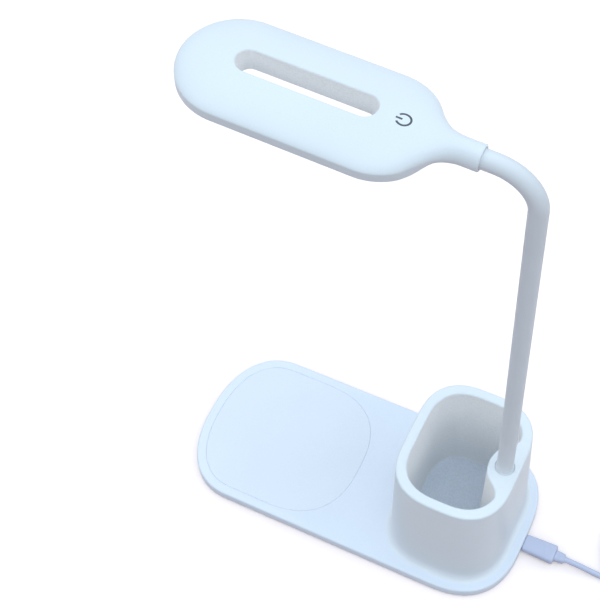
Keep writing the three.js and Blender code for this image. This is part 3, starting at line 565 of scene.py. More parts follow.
def blank(name: str) -> tuple[bpy.types.Material, Bench]:
    """A new material with one main shader, and the bench for its nodes."""
    material = bpy.data.materials.new(name)
    material.use_nodes = True
    return material, Bench(material.node_tree)


def tinted(colour: Rgb, by: float) -> Rgb:
    """A colour made lighter or darker by a share."""
    return tuple(min(1.0, part * (1 + by)) for part in colour)


@dataclass(frozen=True)
class Finish:
    """What every finish has: a name and a way to make its material once."""

    name: str

    def material(self) -> bpy.types.Material:
        """The finish's material, made on its first use."""
        known = bpy.data.materials.get(self.name)
        if known is not None:
            return known
        made, bench = blank(self.name)
        self.make(bench)
        return made

    def make(self, bench: Bench) -> None:
        """Builds the material's nodes."""
        raise NotImplementedError


@dataclass(frozen=True)
class MouldedPlastic(Finish):
    """Satin moulded plastic with a fine spark-eroded grain and a faint cloudiness."""

    colour: Rgb
    rough: float = 0.42
    grain: float = 0.5
    grain_size: float = 0.00045
    cloud: float = 0.012
    speckle: float = 0.03
    specular: float = 0.45

    def make(self, bench: Bench) -> None:
        """Builds the material's nodes."""
        place = bench.where()
        cloudy = bench.noise(place, 24.0, 3.0)
        fine = bench.noise(place, 1 / self.grain_size, 2.0, 0.6)
        flow = bench.noise(bench.where(scale=(0.35, 1.0, 0.6)), 90.0, 4.0, 0.65)
        colour = bench.tones(cloudy, (
            (0.3, tinted(self.colour, -self.cloud)), (0.7, tinted(self.colour, self.cloud))))
        dimmer = 1 - self.speckle
        grains = bench.tones(fine, ((0.32, (dimmer, dimmer, dimmer)), (0.62, (1.0, 1.0, 1.0))))
        waves = bench.relief(flow, 0.05, 0.00004)
        bench.shade(
            Base_Color=bench.mixed(colour, grains, 1.0, "MULTIPLY"),
            Roughness=bench.spread(flow, self.rough - 0.04, self.rough + 0.05),
            Normal=bench.relief(fine, self.grain, 0.000012, waves),
            Specular_IOR_Level=self.specular,
        )


@dataclass(frozen=True)
class SoftSleeve(Finish):
    """Matt silicone sleeve with a dusty sheen and a very fine skin."""

    colour: Rgb
    rough: float = 0.56

    def make(self, bench: Bench) -> None:
        """Builds the material's nodes."""
        place = bench.where()
        drawn = bench.noise(bench.where(scale=(1.0, 1.0, 0.12)), 700.0, 3.0, 0.6)
        fine = bench.noise(place, 3200.0, 2.0, 0.6)
        colour = bench.tones(bench.noise(place, 40.0, 3.0), (
            (0.3, tinted(self.colour, -0.02)), (0.7, tinted(self.colour, 0.012))))
        bench.shade(
            Base_Color=colour,
            Roughness=bench.spread(drawn, self.rough - 0.05, self.rough + 0.06),
            Normal=bench.relief(fine, 0.5, 0.00001, bench.relief(drawn, 0.12, 0.00003)),
            Specular_IOR_Level=0.4,
            Sheen_Weight=0.12,
            Sheen_Roughness=0.5,
        )


@dataclass(frozen=True)
class LeadJacket(Finish):
    """Extruded jacket of the lead and the moulded bodies on it."""

    colour: Rgb
    rough: float = 0.46

    def make(self, bench: Bench) -> None:
        """Builds the material's nodes."""
        place = bench.where()
        streak = bench.noise(bench.where(scale=(0.08, 1.0, 1.0)), 1500.0, 3.0, 0.6)
        fine = bench.noise(place, 2600.0, 2.0)
        colour = bench.tones(bench.noise(place, 60.0, 2.0), (
            (0.3, tinted(self.colour, -0.03)), (0.7, tinted(self.colour, 0.02))))
        bench.shade(
            Base_Color=colour,
            Roughness=bench.spread(fine, self.rough - 0.06, self.rough + 0.06),
            Normal=bench.relief(fine, 0.4, 0.00001, bench.relief(streak, 0.15, 0.00002)),
            Specular_IOR_Level=0.45,
            Subsurface_Weight=0.06,
            Subsurface_Radius=(0.001, 0.001, 0.0012),
        )


@dataclass(frozen=True)
class BrushedMetal(Finish):
    """Metal with fine lines drawn along one direction."""

    colour: Rgb
    rough: float = 0.3
    along: Rgb = (0.05, 1.0, 1.0)

    def make(self, bench: Bench) -> None:
        """Builds the material's nodes."""
        lines = bench.noise(bench.where(scale=self.along), 5200.0, 3.0, 0.7)
        stain = bench.noise(bench.where(), 180.0, 3.0)
        bench.shade(
            Base_Color=bench.tones(stain, (
                (0.25, tinted(self.colour, -0.12)), (0.75, tinted(self.colour, 0.05)))),
            Metallic=1.0,
            Roughness=bench.spread(lines, self.rough - 0.08, self.rough + 0.1),
            Normal=bench.relief(lines, 0.35, 0.00001),
        )


@dataclass(frozen=True)
class WoundCopper(Finish):
    """Enamelled copper wire, wound flat in rings round a middle."""

    colour: Rgb
    middle: tuple[float, float]
    wire: float = 0.0005

    def make(self, bench: Bench) -> None:
        """Builds the material's nodes."""
        place = bench.where(location=(-self.middle[0], -self.middle[1], 0), scale=(1, 1, 0))
        rings = bench.node("ShaderNodeTexWave", wave_type="RINGS", rings_direction="SPHERICAL")
        bench.feed(rings, Vector=place, Scale=math.tau / 20 / self.wire * 0.5, Distortion=0.0)
        strands = rings.outputs["Fac"]
        bench.shade(
            Base_Color=bench.tones(strands, (
                (0.0, tinted(self.colour, -0.55)), (0.5, self.colour),
                (1.0, tinted(self.colour, 0.2)))),
            Metallic=0.85,
            Roughness=bench.spread(bench.noise(bench.where(), 900.0), 0.28, 0.42),
            Normal=bench.relief(strands, 0.6, 0.0001),
            Coat_Weight=0.6,
        )


@dataclass(frozen=True)
class SpeckledMatt(Finish):
    """A matt dark body with small speckles, as ferrite and rubber have."""

    colour: Rgb
    speck: Rgb
    speck_size: float = 0.0005
    rough: float = 0.72

    def make(self, bench: Bench) -> None:
        """Builds the material's nodes."""
        place = bench.where()
        specks = bench.noise(place, 1 / self.speck_size, 4.0, 0.7)
        bench.shade(
            Base_Color=bench.tones(specks, ((0.42, self.colour), (0.75, self.speck))),
            Roughness=bench.spread(specks, self.rough - 0.08, self.rough + 0.1),
            Normal=bench.relief(specks, 0.45, 0.00003),
            Specular_IOR_Level=0.35,
        )


@dataclass(frozen=True)
class CircuitLaminate(Finish):
    """Glass laminate with traces under a lacquer, and darker parts on top of it."""

    colour: Rgb
    trace: Rgb
    part: Rgb
    top: float
    transition: float = 0.00005

    def make(self, bench: Bench) -> None:
        """Builds the material's nodes."""
        place = bench.where()
        traces = bench.node("ShaderNodeTexBrick", offset=0.37, squash=1.6)
        bench.feed(
            traces, Vector=place, Scale=160.0, Color1=(*self.colour, 1),
            Color2=(*tinted(self.colour, -0.12), 1), Mortar=(*self.trace, 1),
            Mortar_Size=0.035, Brick_Width=0.9, Row_Height=0.28,
        )
        above = bench.spread(
            bench.parts(place)["Z"], 0.0, 1.0, self.top, self.top + self.transition)
        speck = bench.tones(bench.noise(place, 1500.0), (
            (0.3, self.part), (0.8, tinted(self.part, 0.5))))
        bench.shade(
            Base_Color=bench.mixed(traces.outputs["Color"], speck, above),
            Roughness=bench.spread(bench.noise(place, 500.0), 0.34, 0.5),
            Normal=bench.relief(traces.outputs["Fac"], 0.3, 0.00003),
        )


@dataclass(frozen=True)
class LightBoard(Finish):
    """White lacquered light board whose chips have a yellow phosphor face."""

    colour: Rgb
    phosphor: Rgb
    tilt: float
    level: float

    def make(self, bench: Bench) -> None:
        """Builds the material's nodes."""
        height = bench.parts(bench.where(rotation=(0, -self.tilt, 0)))["Z"]
        below = bench.spread(height, 0.0, 1.0, self.level - 0.0001, self.level - 0.0003)
        grain = bench.noise(bench.where(), 1800.0, 3.0)
        bench.shade(
            Base_Color=bench.tones(below, ((0.0, self.colour), (1.0, self.phosphor))),
            Roughness=bench.spread(grain, 0.35, 0.5),
            Normal=bench.relief(grain, 0.3, 0.00002),
        )


@dataclass(frozen=True)
class MilkyDiffuser(Finish):
    """Opal plastic that scatters light under a satin face."""

    colour: Rgb

    def make(self, bench: Bench) -> None:
        """Builds the material's nodes."""
        place = bench.where()
        haze = bench.noise(place, 70.0, 3.0)
        fine = bench.noise(place, 2400.0, 2.0)
        bench.shade(
            Base_Color=bench.tones(haze, (
                (0.3, tinted(self.colour, -0.02)), (0.7, tinted(self.colour, 0.015)))),
            Roughness=bench.spread(fine, 0.3, 0.4),
            Normal=bench.relief(fine, 0.25, 0.00001),
            Subsurface_Weight=0.25,
            Subsurface_Radius=(0.003, 0.003, 0.003),
        )


@dataclass(frozen=True)
class PrintedInk(Finish):
    """Pad-printed ink, a little uneven in tone."""

    colour: Rgb

    def make(self, bench: Bench) -> None:
        """Builds the material's nodes."""
        blot = bench.noise(bench.where(), 1500.0, 3.0, 0.6)
        bench.shade(
            Base_Color=bench.tones(blot, (
                (0.3, tinted(self.colour, -0.15)), (0.75, tinted(self.colour, 0.25)))),
            Roughness=bench.spread(blot, 0.45, 0.6),
            Normal=bench.relief(blot, 0.3, 0.00001),
        )


HOUSING = MouldedPlastic("housing_plastic", (0.850, 0.885, 0.930))
# The base's top cover: a bluer copy of the housing plastic, with the lavender light from above
# painted into its colour
BASE_TOP_PAINTED_LIGHT = MouldedPlastic("base_plastic_painted_light", (0.830, 0.870, 0.965), grain=0.6, grain_size=0.0006)
PAD_FACE = MouldedPlastic(
    "pad_plastic", (0.820, 0.850, 0.930), rough=0.5, grain=0.6, grain_size=0.0006)
# Walls of the well and of the slot: a whiter, more neutral copy of the housing plastic, painted
# light that lifts the shade in these hollows
INSIDE_PAINTED_LIGHT = MouldedPlastic(
    "inner_plastic_painted_light", (0.960, 0.950, 0.950), rough=0.62, grain=0.8, grain_size=0.0008, speckle=0.08)
# Floor of the well: a bluish copy of the cup's plastic, with the bluish light from straight above
# painted into its colour
WELL_FLOOR_PAINTED_LIGHT = MouldedPlastic(
    "well_floor_painted_light", (0.85, 0.85, 0.94), rough=0.66, grain=0.8, grain_size=0.0008,
    speckle=0.10)
UNDERSIDE = MouldedPlastic("under_cover_plastic", (0.66, 0.76, 0.82), rough=0.58, grain=0.8)
SLEEVE = SoftSleeve("sleeve_silicone", (0.820, 0.840, 0.880))
JACKET = LeadJacket("lead_jacket", (0.60, 0.625, 0.80))
STEEL = BrushedMetal("brushed_steel", (0.60, 0.61, 0.63))
HOSE_STEEL = BrushedMetal("hose_steel", (0.52, 0.53, 0.55), rough=0.38, along=(1, 1, 0.1))
COPPER = WoundCopper("wound_copper", (0.83, 0.42, 0.20), (-0.0468, 0.0))
FERRITE = SpeckledMatt("ferrite_body", (0.035, 0.035, 0.038), (0.09, 0.09, 0.095))
RUBBER = SpeckledMatt("foot_rubber", (0.10, 0.11, 0.12), (0.16, 0.17, 0.18), 0.0007, 0.8)
BOARD = CircuitLaminate(
    "circuit_laminate", (0.03, 0.16, 0.08), (0.10, 0.33, 0.17), (0.02, 0.02, 0.022), 0.00412)
TOUCH_BOARD = replace(BOARD, name="touch_laminate", top=0.5)
DIFFUSER = MilkyDiffuser("milky_diffuser", (0.86, 0.90, 0.92))
INK = PrintedInk("symbol_ink", (0.085, 0.095, 0.115))


# Dressing


@dataclass(frozen=True)
class Ride:
    """What a piece moves with: one body, or two bodies with the span between them, where the piece
    is only left in place.
    """

    body: str
    second: str = ""
    start: tuple[float, ...] = ()
    end: tuple[float, ...] = ()


ON_BASE = Ride("root")
ON_HEAD = Ride("head")


def dress(
    piece: bpy.types.Object, finish: Finish, ride: Ride, slot: Slot | None = None,
    stands_for: Iterable[str] = (), sharp: float = SHARP_EDGE,
) -> bpy.types.Object:
    """Finishes a piece that is still in millimetres.

    Args:
        piece: The object that Skin.done made.
        finish: Its finish.
        ride: What it moves with; a piece that lies between two bodies is left in place.
        slot: The record's slot that its finish comes from; not used.
        stands_for: Names of the CAD nodes that it replaces.
        sharp: Least angle between faces at which an edge stays sharp.

    Returns:
        The piece, in metres.
    """
    work = bmesh.new()
    work.from_mesh(piece.data)
    bmesh.ops.remove_doubles(work, verts=work.verts, dist=SAME_PLACE)
    bmesh.ops.dissolve_degenerate(work, edges=work.edges, dist=THINNEST)
    bmesh.ops.scale(work, vec=(MM, MM, MM), verts=work.verts)
    layer = work.verts.layers.int.get("place")
    if layer is not None:
        work.verts.layers.int.remove(layer)
    work.to_mesh(piece.data)
    work.free()
    piece.data.shade_smooth()
    piece.data.set_sharp_from_angle(angle=sharp)
    piece.data.materials.clear()
    piece.data.materials.append(finish.material())
    if ride.second:
        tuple(ride.start)
        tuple(ride.end)
        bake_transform(piece)
    else:
        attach(piece, ride.body)
    names = tuple(stands_for)
    if names:
        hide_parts(*names)
    log.info("%s: %d faces", piece.name, len(piece.data.polygons))
    return piece


def refinish(
    piece: bpy.types.Object, finish: Finish, wanted: Callable[[Vector, Vector], bool]
) -> None:
    """Gives some faces of a dressed piece another finish.

    Args:
        piece: The piece.
        finish: The finish for those faces.
        wanted: Says from a face's middle, in millimetres, and its normal whether it's one of them.
    """
    piece.data.materials.append(finish.material())
    place = len(piece.data.materials) - 1
    for face in piece.data.polygons:
        if wanted(face.center / MM, face.normal):
            face.material_index = place


def repaint(nodes: dict[str, bpy.types.Object], finish: Finish, *names: str) -> None:
    """Gives CAD nodes that stay in the scene a better material."""
    for name in names:
        data = nodes[name].data
        if not data.materials:
            data.materials.append(finish.material())
        for index in range(len(data.materials)):
            data.materials[index] = finish.material()
        log.info("%s keeps its CAD shape", name)


# The supply lead


@dataclass(frozen=True)
class SupplyLead:
    """Plug in the base, the run on the table, the coil outside the view and the far plug."""

    y: float = -1.7
    z: float = 3.7
    plug_start: float = 96.3
    plug_length: float = 17.6
    plug_width: float = 9.6
    plug_flare: float = 1.1
    plug_height: float = 5.2
    plug_round: float = 1.2
    relief_length: float = 4.6
    relief_width: float = 6.3
    relief_height: float = 4.4
    relief_end: float = 5.5
    taper: float = 1.6
    radius: float = 1.55
    drop: float = 26.0
    drop_start: float = 1.5
    lift_end: float = 5.6
    run_end: float = 3.1
    coil_x: float = 161.0
    coil_level: float = 1.75
    outer_radius: float = 22.4
    pitch: float = 3.3
    turns_in: float = 4.5
    turns_out: float = 5.0
    tail: float = 16.0
    per_turn: int = 20
    gap: float = 0.3
    far_relief_length: float = 9.0
    far_relief_end: float = 2.6
    far_body: tuple[float, float, float] = (20.0, 15.6, 9.0)
    far_round: float = 1.5
    shell: tuple[float, float, float] = (12.0, 12.0, 4.5)
    shell_wall: float = 0.4
    near_grips: tuple[float, ...] = (0.62, 0.71, 0.80)
    near_grip: tuple[Step, ...] = (
        (-0.5, 0), (-0.3, 0.04), (-0.12, 0.1), (0.12, 0.1), (0.3, 0.04), (0.5, 0))
    far_grip_start: float = 5.0
    far_grip_pitch: float = 1.9
    far_grip: tuple[Step, ...] = (
        (-0.7, 0), (-0.4, 0.2), (-0.15, 0.5), (0.15, 0.5), (0.4, 0.2), (0.7, 0))

    @property
    def cord_start(self) -> float:
        """Where the lead starts, inside the taper of its strain relief."""
        return self.plug_start + self.plug_length + self.relief_length + self.taper * 0.4

    @property
    def far_relief_start(self) -> float:
        """Where the far plug's strain relief starts."""
        return self.coil_x + self.tail + self.gap

    @property
    def far_body_start(self) -> float:
        """Where the far plug's moulded body starts."""
        return self.far_relief_start + self.far_relief_length + self.gap

    @property
    def coil_y(self) -> float:
        """Where the coil's middle lies across."""
        return self.y + self.outer_radius

    def run(self) -> list[Vector]:
        """Points from the relief down to the table and up to the coil's first turn."""
        start, landed = self.cord_start, self.cord_start + self.drop
        end = self.coil_x - self.run_end
        count = 17
        points = []
        for index in range(count + 1):
            x = lerp(start, end, index / count)
            fallen = smooth(share(x, start + self.drop_start, landed))
            lifted = smooth(share(x, landed + 1, self.coil_x - self.lift_end))
            height = lerp(self.z, self.radius, fallen) + (self.coil_level - self.radius) * lifted
            points.append(Vector((x, self.y, height)))
        return points

    def coil(self) -> list[Vector]:
        """Points of the coil: inwards on the table, up half a turn, out again on top, a tail."""
        total = self.turns_in + 0.5 + self.turns_out
        back = self.turns_in + 0.25
        points = []
        for index in range(round(total * self.per_turn) + 1):
            turn = index / self.per_turn
            climb = smooth(share(turn, self.turns_in, self.turns_in + 0.5))
            radius = self.outer_radius - self.pitch * (back - abs(turn - back))
            angle = turn * math.tau - math.pi / 2
            points.append(Vector((
                self.coil_x + radius * math.cos(angle), self.coil_y + radius * math.sin(angle),
                self.coil_level + self.pitch * climb)))
        last = points[-1]
        points += [last + Vector((self.tail * part, 0, 0)) for part in (0.3, 0.65, 1.0)]
        return points

    def section(
        self, x: float, width: float, height: float, exponent: float, middle: Step,
        count: int = 64,
    ) -> Ring:
        """An upright section across the lead at x, from a circle to a soft rectangle."""
        return [Vector((
            x, middle[0] + width / 2 * power(math.cos(a), exponent),
            middle[1] + height / 2 * power(math.sin(a), exponent))) for a in full_turn(count)]

    def moulded(
        self, ring: Callable[..., Ring], start: float, end: float, radius: float,
        eases: tuple[float, float, float, float], grips: Iterable[float], grip: Sequence[Step],
    ) -> list[Ring]:
        """Rings of a moulded body with rounded ends and grip grooves across it.

        Args:
            ring: Gives the body's section at a place, drawn in all round and above and below.
            start: Where the body starts.
            end: Where it ends.
            radius: Radius of its rounded ends.
            eases: How many radii its section is drawn in by at its first face, where the first
                rounding starts, where the last one ends, and at its last face.
            grips: Middles of the grooves.
            grip: A groove's profile, as distances from its middle and depths.

        Returns:
            The rings from start to end.
        """
        first, opening, closing, last = eases
        rings = [ring(start, first * radius)]
        for a in quarter_turn(6):
            rings.append(ring(
                start + radius * (1 - math.cos(a)), opening * radius * (1 - math.sin(a))))
        for middle in grips:
            rings += [ring(middle + off, 0.0, deep) for off, deep in grip]
        for a in quarter_turn(6):
            rings.append(ring(
                end - radius * (1 - math.sin(a)), closing * radius * (1 - math.cos(a))))
        rings.append(ring(end, last * radius))
        return rings

    def build(self) -> None:
        """Builds and dresses the lead with all that is on it."""
        plug = self.near_plug()
        relief = self.near_relief()
        far = [self.far_relief(), self.far_plug_body(), self.far_plug_shell()]
        tie = self.tie_band()
        self.cord()
        log.info("lead done with %s and %s", plug.name, relief.name)

    def cord(self) -> bpy.types.Object:
        """The lead itself, one round cord."""
        points = [*self.run(), *self.coil()]
        line = bpy.data.curves.new("supply_cord", "CURVE")
        line.dimensions = "3D"
        line.resolution_u = 5
        line.bevel_depth = self.radius * MM
        line.bevel_resolution = 7
        line.use_fill_caps = True
        spline = line.splines.new("BEZIER")
        spline.bezier_points.add(len(points) - 1)
        for bead, place in zip(spline.bezier_points, points):
            bead.co = place * MM
            bead.handle_left_type = bead.handle_right_type = "AUTO"
        piece = bpy.data.objects.new("supply_cord", line)
        bpy.context.scene.collection.objects.link(piece)
        line.materials.append(JACKET.material())
        length = sum((b - a).length for a, b in zip(points, points[1:])) * MM
        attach(piece, "root")
        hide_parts("usb_cord", "usb_cord_coil")
        log.info("supply_cord: %.3f m long", length)
        return piece

    def near_plug(self) -> bpy.types.Object:
        """Body of the plug in the base, wider towards the lead, with three faint grip grooves."""
        start, end = self.plug_start, self.plug_start + self.plug_length

        def ring(x: float, less: float, flat: float = 0.0) -> Ring:
            """A section of the plug drawn in by less all round, and by flat above and below."""
            wide = self.plug_width + self.plug_flare * share(x, start, end)
            return self.section(
                x, wide - less, self.plug_height - less - flat, 4.0, (self.y, self.z), 96)

        rings = self.moulded(
            ring, start, end, self.plug_round, (1.6, 1.0, 1.5, 1.9),
            [lerp(start, end, part) for part in self.near_grips], self.near_grip)
        return dress(
            solid("near_plug_body", rings), JACKET, ON_BASE, Slot.LEAD, ["usb_plug_body"])

    def near_relief(self) -> bpy.types.Object:
        """Stepped strain relief behind the plug: a block with two faint ribs and a short taper."""
        start = self.plug_start + self.plug_length + 0.1
        step = start + self.relief_length
        edge, end_height = 0.5, self.relief_end - 0.5
        rings: list[Ring] = []
        ribs, spans = 2, 10
        for index in range(ribs * spans + 1):
            part = index / (ribs * spans)
            sunk = 0.16 * (0.5 - 0.5 * math.cos(part * ribs * math.tau))
            rings.append(self.section(
                lerp(start, step, part), lerp(self.relief_width, self.relief_end, part) - sunk,
                lerp(self.relief_height, end_height, part) - sunk,
                lerp(3.4, SQUARENESS, part), (self.y, self.z)))
        for a in quarter_turn(5)[1:]:
            drop = edge * (1 - math.cos(a))
            rings.append(self.section(
                step + edge * math.sin(a), self.relief_end - 2 * drop, end_height - 1.2 * drop,
                2.4, (self.y, self.z)))
        for index in range(1, 7):
            part = index / 6
            wide = lerp(self.relief_end - 1.1, 2 * self.radius + 0.12, smooth(part))
            rings.append(self.section(
                lerp(step + edge, step + self.taper, part), wide, min(wide, 3.5), 2.0,
                (self.y, self.z)))
        return dress(
            solid("near_strain_relief", rings), JACKET, ON_BASE, Slot.LEAD,
            ["usb_strain_relief"])

    @property
    def far_middle(self) -> Step:
        """Where the far plug's axis runs, across and up."""
        out = self.outer_radius + self.pitch * (self.turns_out - self.turns_in)
        return (self.coil_y - out, self.coil_level + self.pitch)

    def far_relief(self) -> bpy.types.Object:
        """Ribbed strain relief of the far plug."""
        rings: list[Ring] = []
        ribs, spans = 5, 8
        for index in range(ribs * spans + 1):
            part = index / (ribs * spans)
            wide = 2 * lerp(self.radius + self.gap, self.far_relief_end, part)
            sunk = 0.5 * (0.5 - 0.5 * math.cos(part * ribs * math.tau))
            rings.append(self.section(
                self.far_relief_start + self.far_relief_length * part, wide - sunk, wide - sunk,
                2.0, self.far_middle, 48))
        return dress(
            solid("far_strain_relief", rings), JACKET, ON_BASE, Slot.LEAD, ["supply_relief"])

    def far_plug_body(self) -> bpy.types.Object:
        """Moulded body of the far plug, with grip grooves."""
        start = self.far_body_start
        length, width, height = self.far_body

        def ring(x: float, less: float, flat: float = 0.0) -> Ring:
            """A section of the body drawn in by less all round, and by flat above and below."""
            return self.section(x, width - less, height - less - flat, 5.0, self.far_middle, 96)

        rings = self.moulded(
            ring, start, start + length, self.far_round, (2.8, 2.0, 1.0, 1.8),
            [start + self.far_grip_start + index * self.far_grip_pitch for index in range(5)],
            self.far_grip)
        return dress(
            solid("far_plug_body", rings), JACKET, ON_BASE, Slot.LEAD, ["supply_plug_body"])

    def far_plug_shell(self) -> bpy.types.Object:
        """Steel shell of the far plug with its two windows and the tongue inside."""
        start = self.far_body_start + self.far_body[0]
        length, width, height = self.shell
        wall = self.shell_wall
        across, up = self.far_middle

        def ring(x: float, less: float) -> Ring:
            """A section of the shell drawn in by less."""
            return self.section(x, width - less, height - less, 12.0, (across, up), 96)

        piece = solid("far_plug_shell", [
            ring(start, 0), ring(start + length - 0.25, 0), ring(start + length - 0.08, 0.16),
            ring(start + length, 0.4), ring(start + length, 1.6 * wall),
            ring(start + length - 0.2, 2 * wall), ring(start + wall, 2 * wall),
            ring(start + wall, 2.6 * wall)])
        windows = Skin()
        half = 1.15
        for side in (-1, 1):
            middle = across + side * width * 0.22
            windows.block(
                (start + 5.0, middle - half, up - height),
                (start + 7.3, middle + half, up + height))
        work_in(piece, windows.done("windows"))
        tongue = Skin()
        top = up + height / 2 - wall / 2
        made = tongue.block(
            (start + wall / 2, across - width / 2 + wall / 2, top - 1.8),
            (start + length - wall, across + width / 2 - wall / 2, top))
        bmesh.ops.bevel(
            tongue.mesh, geom=edges_of(made), offset=0.15, affect="EDGES", segments=2,
            profile=0.5, material=-1)
        work_in(piece, tongue.done("tongue"), Join.ADD)
        return dress(piece, STEEL, ON_BASE, Slot.STEEL, ["supply_plug_shell"])

    def tie_band(self) -> bpy.types.Object:
        """Thin band round the turns on the coil's far side."""
        slack, wall, half = 0.1, 0.25, 2.5
        far = self.coil_y + self.outer_radius + self.radius + slack
        near = self.coil_y + self.outer_radius - self.pitch * (self.turns_in + 0.25)
        near -= self.radius + slack
        top = self.coil_level + self.pitch + self.radius + slack
        level = (top + wall) / 2
        plan = SoftPlan(
            near - wall, far + wall, level, 1.5, 1.5, left_squareness=2.0, right_squareness=2.0)

        def ring(x: float, by: float) -> Ring:
            """The band's line at x, drawn in by a distance."""
            return [Vector((x, p[0], level + p[1])) for p in plan.outline(by, 160).points]

        x0, x1, edge = self.coil_x - half, self.coil_x + half, 0.06
        rings = [
            ring(x0, edge), ring(x0 + edge, 0), ring(x1 - edge, 0), ring(x1, edge),
            ring(x1, wall - edge), ring(x1 - edge, wall), ring(x0 + edge, wall),
            ring(x0, wall - edge)]
        return dress(
            solid("coil_band", rings, closed=True), RUBBER, ON_BASE, Slot.RUBBER, ["coil_tie"])


# The base


@dataclass(frozen=True)
class BasePlate:
    """Thin plate with the charging pad let into its top, its bottom cover, feet and screws."""

    bottom: float = 0.8
    top: float = 6.8
    wall: float = 1.6
    chamfer: float = 0.4
    edge_round: float = 1.1
    floor_top: float = 2.2
    pad_thickness: float = 0.8
    pad_seam: float = 0.04
    recess_lip: float = 0.3
    under_round: float = 0.4
    opening: SoftPlan = SoftPlan(39, 82, 25, 14, 14)
    mouth_low: tuple[float, float, float] = (92.4, -5.3, 2.6)
    mouth_high: tuple[float, float, float] = (98.0, 1.9, 4.8)
    mouth_round: float = 0.9
    plan: SoftPlan = SoftPlan(
        -96.0, 96.0, 46.0, 46.0, 39.5, left_reach=33.0, left_squareness=2.3)
    pad_plan: SoftPlan = SoftPlan(
        -90.8, -2.8, 40.8, 40.8, 40.8, left_reach=27.8, left_squareness=2.3)
    feet: tuple[Step, ...] = ((-77, -25.5), (-77, 25.5), (77, -31), (77, 31))
    screws: tuple[Step, ...] = ((-48, -37), (-48, 37), (48, -37), (48, 37))
    foot_seat: tuple[Step, ...] = ((0, -2), (6.0, -2), (5.8, 0.5), (0, 0.5))
    screw_seat: tuple[Step, ...] = ((0, -2), (2.6, -2), (2.4, 0.7), (1.3, 0.7), (1.3, 3), (0, 3))
    screw_cross: tuple[tuple[float, float, float], ...] = ((1.2, 0.28, 0.35), (0.28, 1.2, 0.37))

    def build(self) -> None:
        """Builds and dresses the base."""
        self.top_cover()
        self.pad()
        self.bottom_cover()
        for number, middle in enumerate(self.feet, 1):
            self.foot(number, middle)
        for number, middle in enumerate(self.screws, 1):
            self.screw(number, middle)

    def top_cover(self) -> bpy.types.Object:
        """The moulded top cover, hollow below, with the pad's recess and the socket's mouth."""
        edge = round_over(self.edge_round, self.top)
        piece = stacked("base_cover", self.plan, [
            (self.chamfer + 0.4, self.bottom), (self.chamfer, self.bottom),
            (0, self.bottom + self.chamfer), *edge, (self.edge_round + 0.5, self.top)])
        work_in(piece, stacked("hollow", self.plan, [
            (self.wall, self.bottom - 2), (self.wall, self.top - self.wall - self.under_round),
            (self.wall + self.under_round, self.top - self.wall)], 160))
        lip = self.recess_lip
        work_in(piece, stacked("recess", self.pad_plan, [
            (-self.pad_seam, self.top - self.pad_thickness), (-self.pad_seam, self.top - lip),
            (-self.pad_seam - 0.05, self.top - lip * 0.4),
            (-self.pad_seam - lip, self.top + 0.01), (-self.pad_seam - lip, self.top + 2)]))
        work_in(piece, stacked("opening", self.opening, [(0, 3), (0, self.top + 2)], 96))
        work_in(piece, self.mouth())
        # Finished with the bluer copy of the housing plastic, which carries painted light from
        # above
        return dress(piece, BASE_TOP_PAINTED_LIGHT, ON_BASE, Slot.HOUSING, ["base_top_cover"])

    def mouth(self) -> bpy.types.Object:
        """The cutter of the socket's mouth, with its long edges rounded."""
        skin = Skin()
        made = skin.block(self.mouth_low, self.mouth_high)
        long = [
            edge for edge in edges_of(made)
            if abs((edge.verts[0].co - edge.verts[1].co).x) > 1]
        bmesh.ops.bevel(
            skin.mesh, geom=long, offset=self.mouth_round, affect="EDGES", segments=6,
            profile=0.5, material=-1)
        return skin.done("mouth")

    def pad(self) -> bpy.types.Object:
        """The charging pad, flush with the cover inside a fine seam."""
        under, radius = 0.3, 0.35
        piece = stacked("charging_pad_face", self.pad_plan, [
            (under, self.top - self.pad_thickness), (0, self.top - self.pad_thickness + under),
            *round_over(radius, self.top, count=4), (radius + 0.25, self.top)])
        return dress(piece, PAD_FACE, ON_BASE, Slot.HOUSING, ["charging_pad"])

    def bottom_cover(self) -> bpy.types.Object:
        """The bottom cover with seats for the feet and the screws."""
        by = self.wall + 0.3
        piece = stacked("bottom_cover", self.plan, [
            (by + self.chamfer + 0.4, self.bottom), (by + self.chamfer, self.bottom),
            (by, self.bottom + self.chamfer), (by, self.floor_top - 0.1),
            (by + 0.1, self.floor_top)], 256)
        for places, profile, steps in (
                (self.feet, self.foot_seat, 64), (self.screws, self.screw_seat, 48)):
            for place in places:
                work_in(piece, spun("seat", profile, Vector((*place, self.bottom)), steps))
        return dress(piece, UNDERSIDE, ON_BASE, Slot.UNDER_COVER, ["base_bottom_cover"])

    def foot(self, number: int, middle: Step) -> bpy.types.Object:
        """A round rubber foot with a soft edge."""
        r, soft, hollow, thick = 5.5, 0.4, 0.12, 1.3
        edge = [(r - soft + soft * math.sin(a), soft - soft * math.cos(a))
                for a in quarter_turn(6)]
        profile = [
            (0, hollow), (r - 2.2, hollow), (r - 1.9, 0.0), *edge, (r, thick - 0.1),
            (r - 0.1, thick), (0, thick)]
        return dress(
            spun(f"foot_{number}", profile, Vector((*middle, 0)), 64), RUBBER, ON_BASE,
            Slot.RUBBER, [f"rubber_foot_{number}"])

    def screw(self, number: int, middle: Step) -> bpy.types.Object:
        """A flat-headed screw with a cross recess, head down."""
        low = self.bottom + 0.1
        head, thick, shank, length = 2.1, 0.6, 1.0, 3.6
        thread = [(shank - (0.18 if index % 2 else 0.0), thick + 0.2 + index * 0.22)
                  for index in range(12)]
        profile = [
            (0, 0), (head - 0.35, 0), (head - 0.1, 0.1), (head, 0.3), (head, thick),
            (shank, thick + 0.05), *thread, (shank - 0.3, length), (0, length)]
        piece = spun(f"cover_screw_{number}", profile, Vector((*middle, low)), 40)
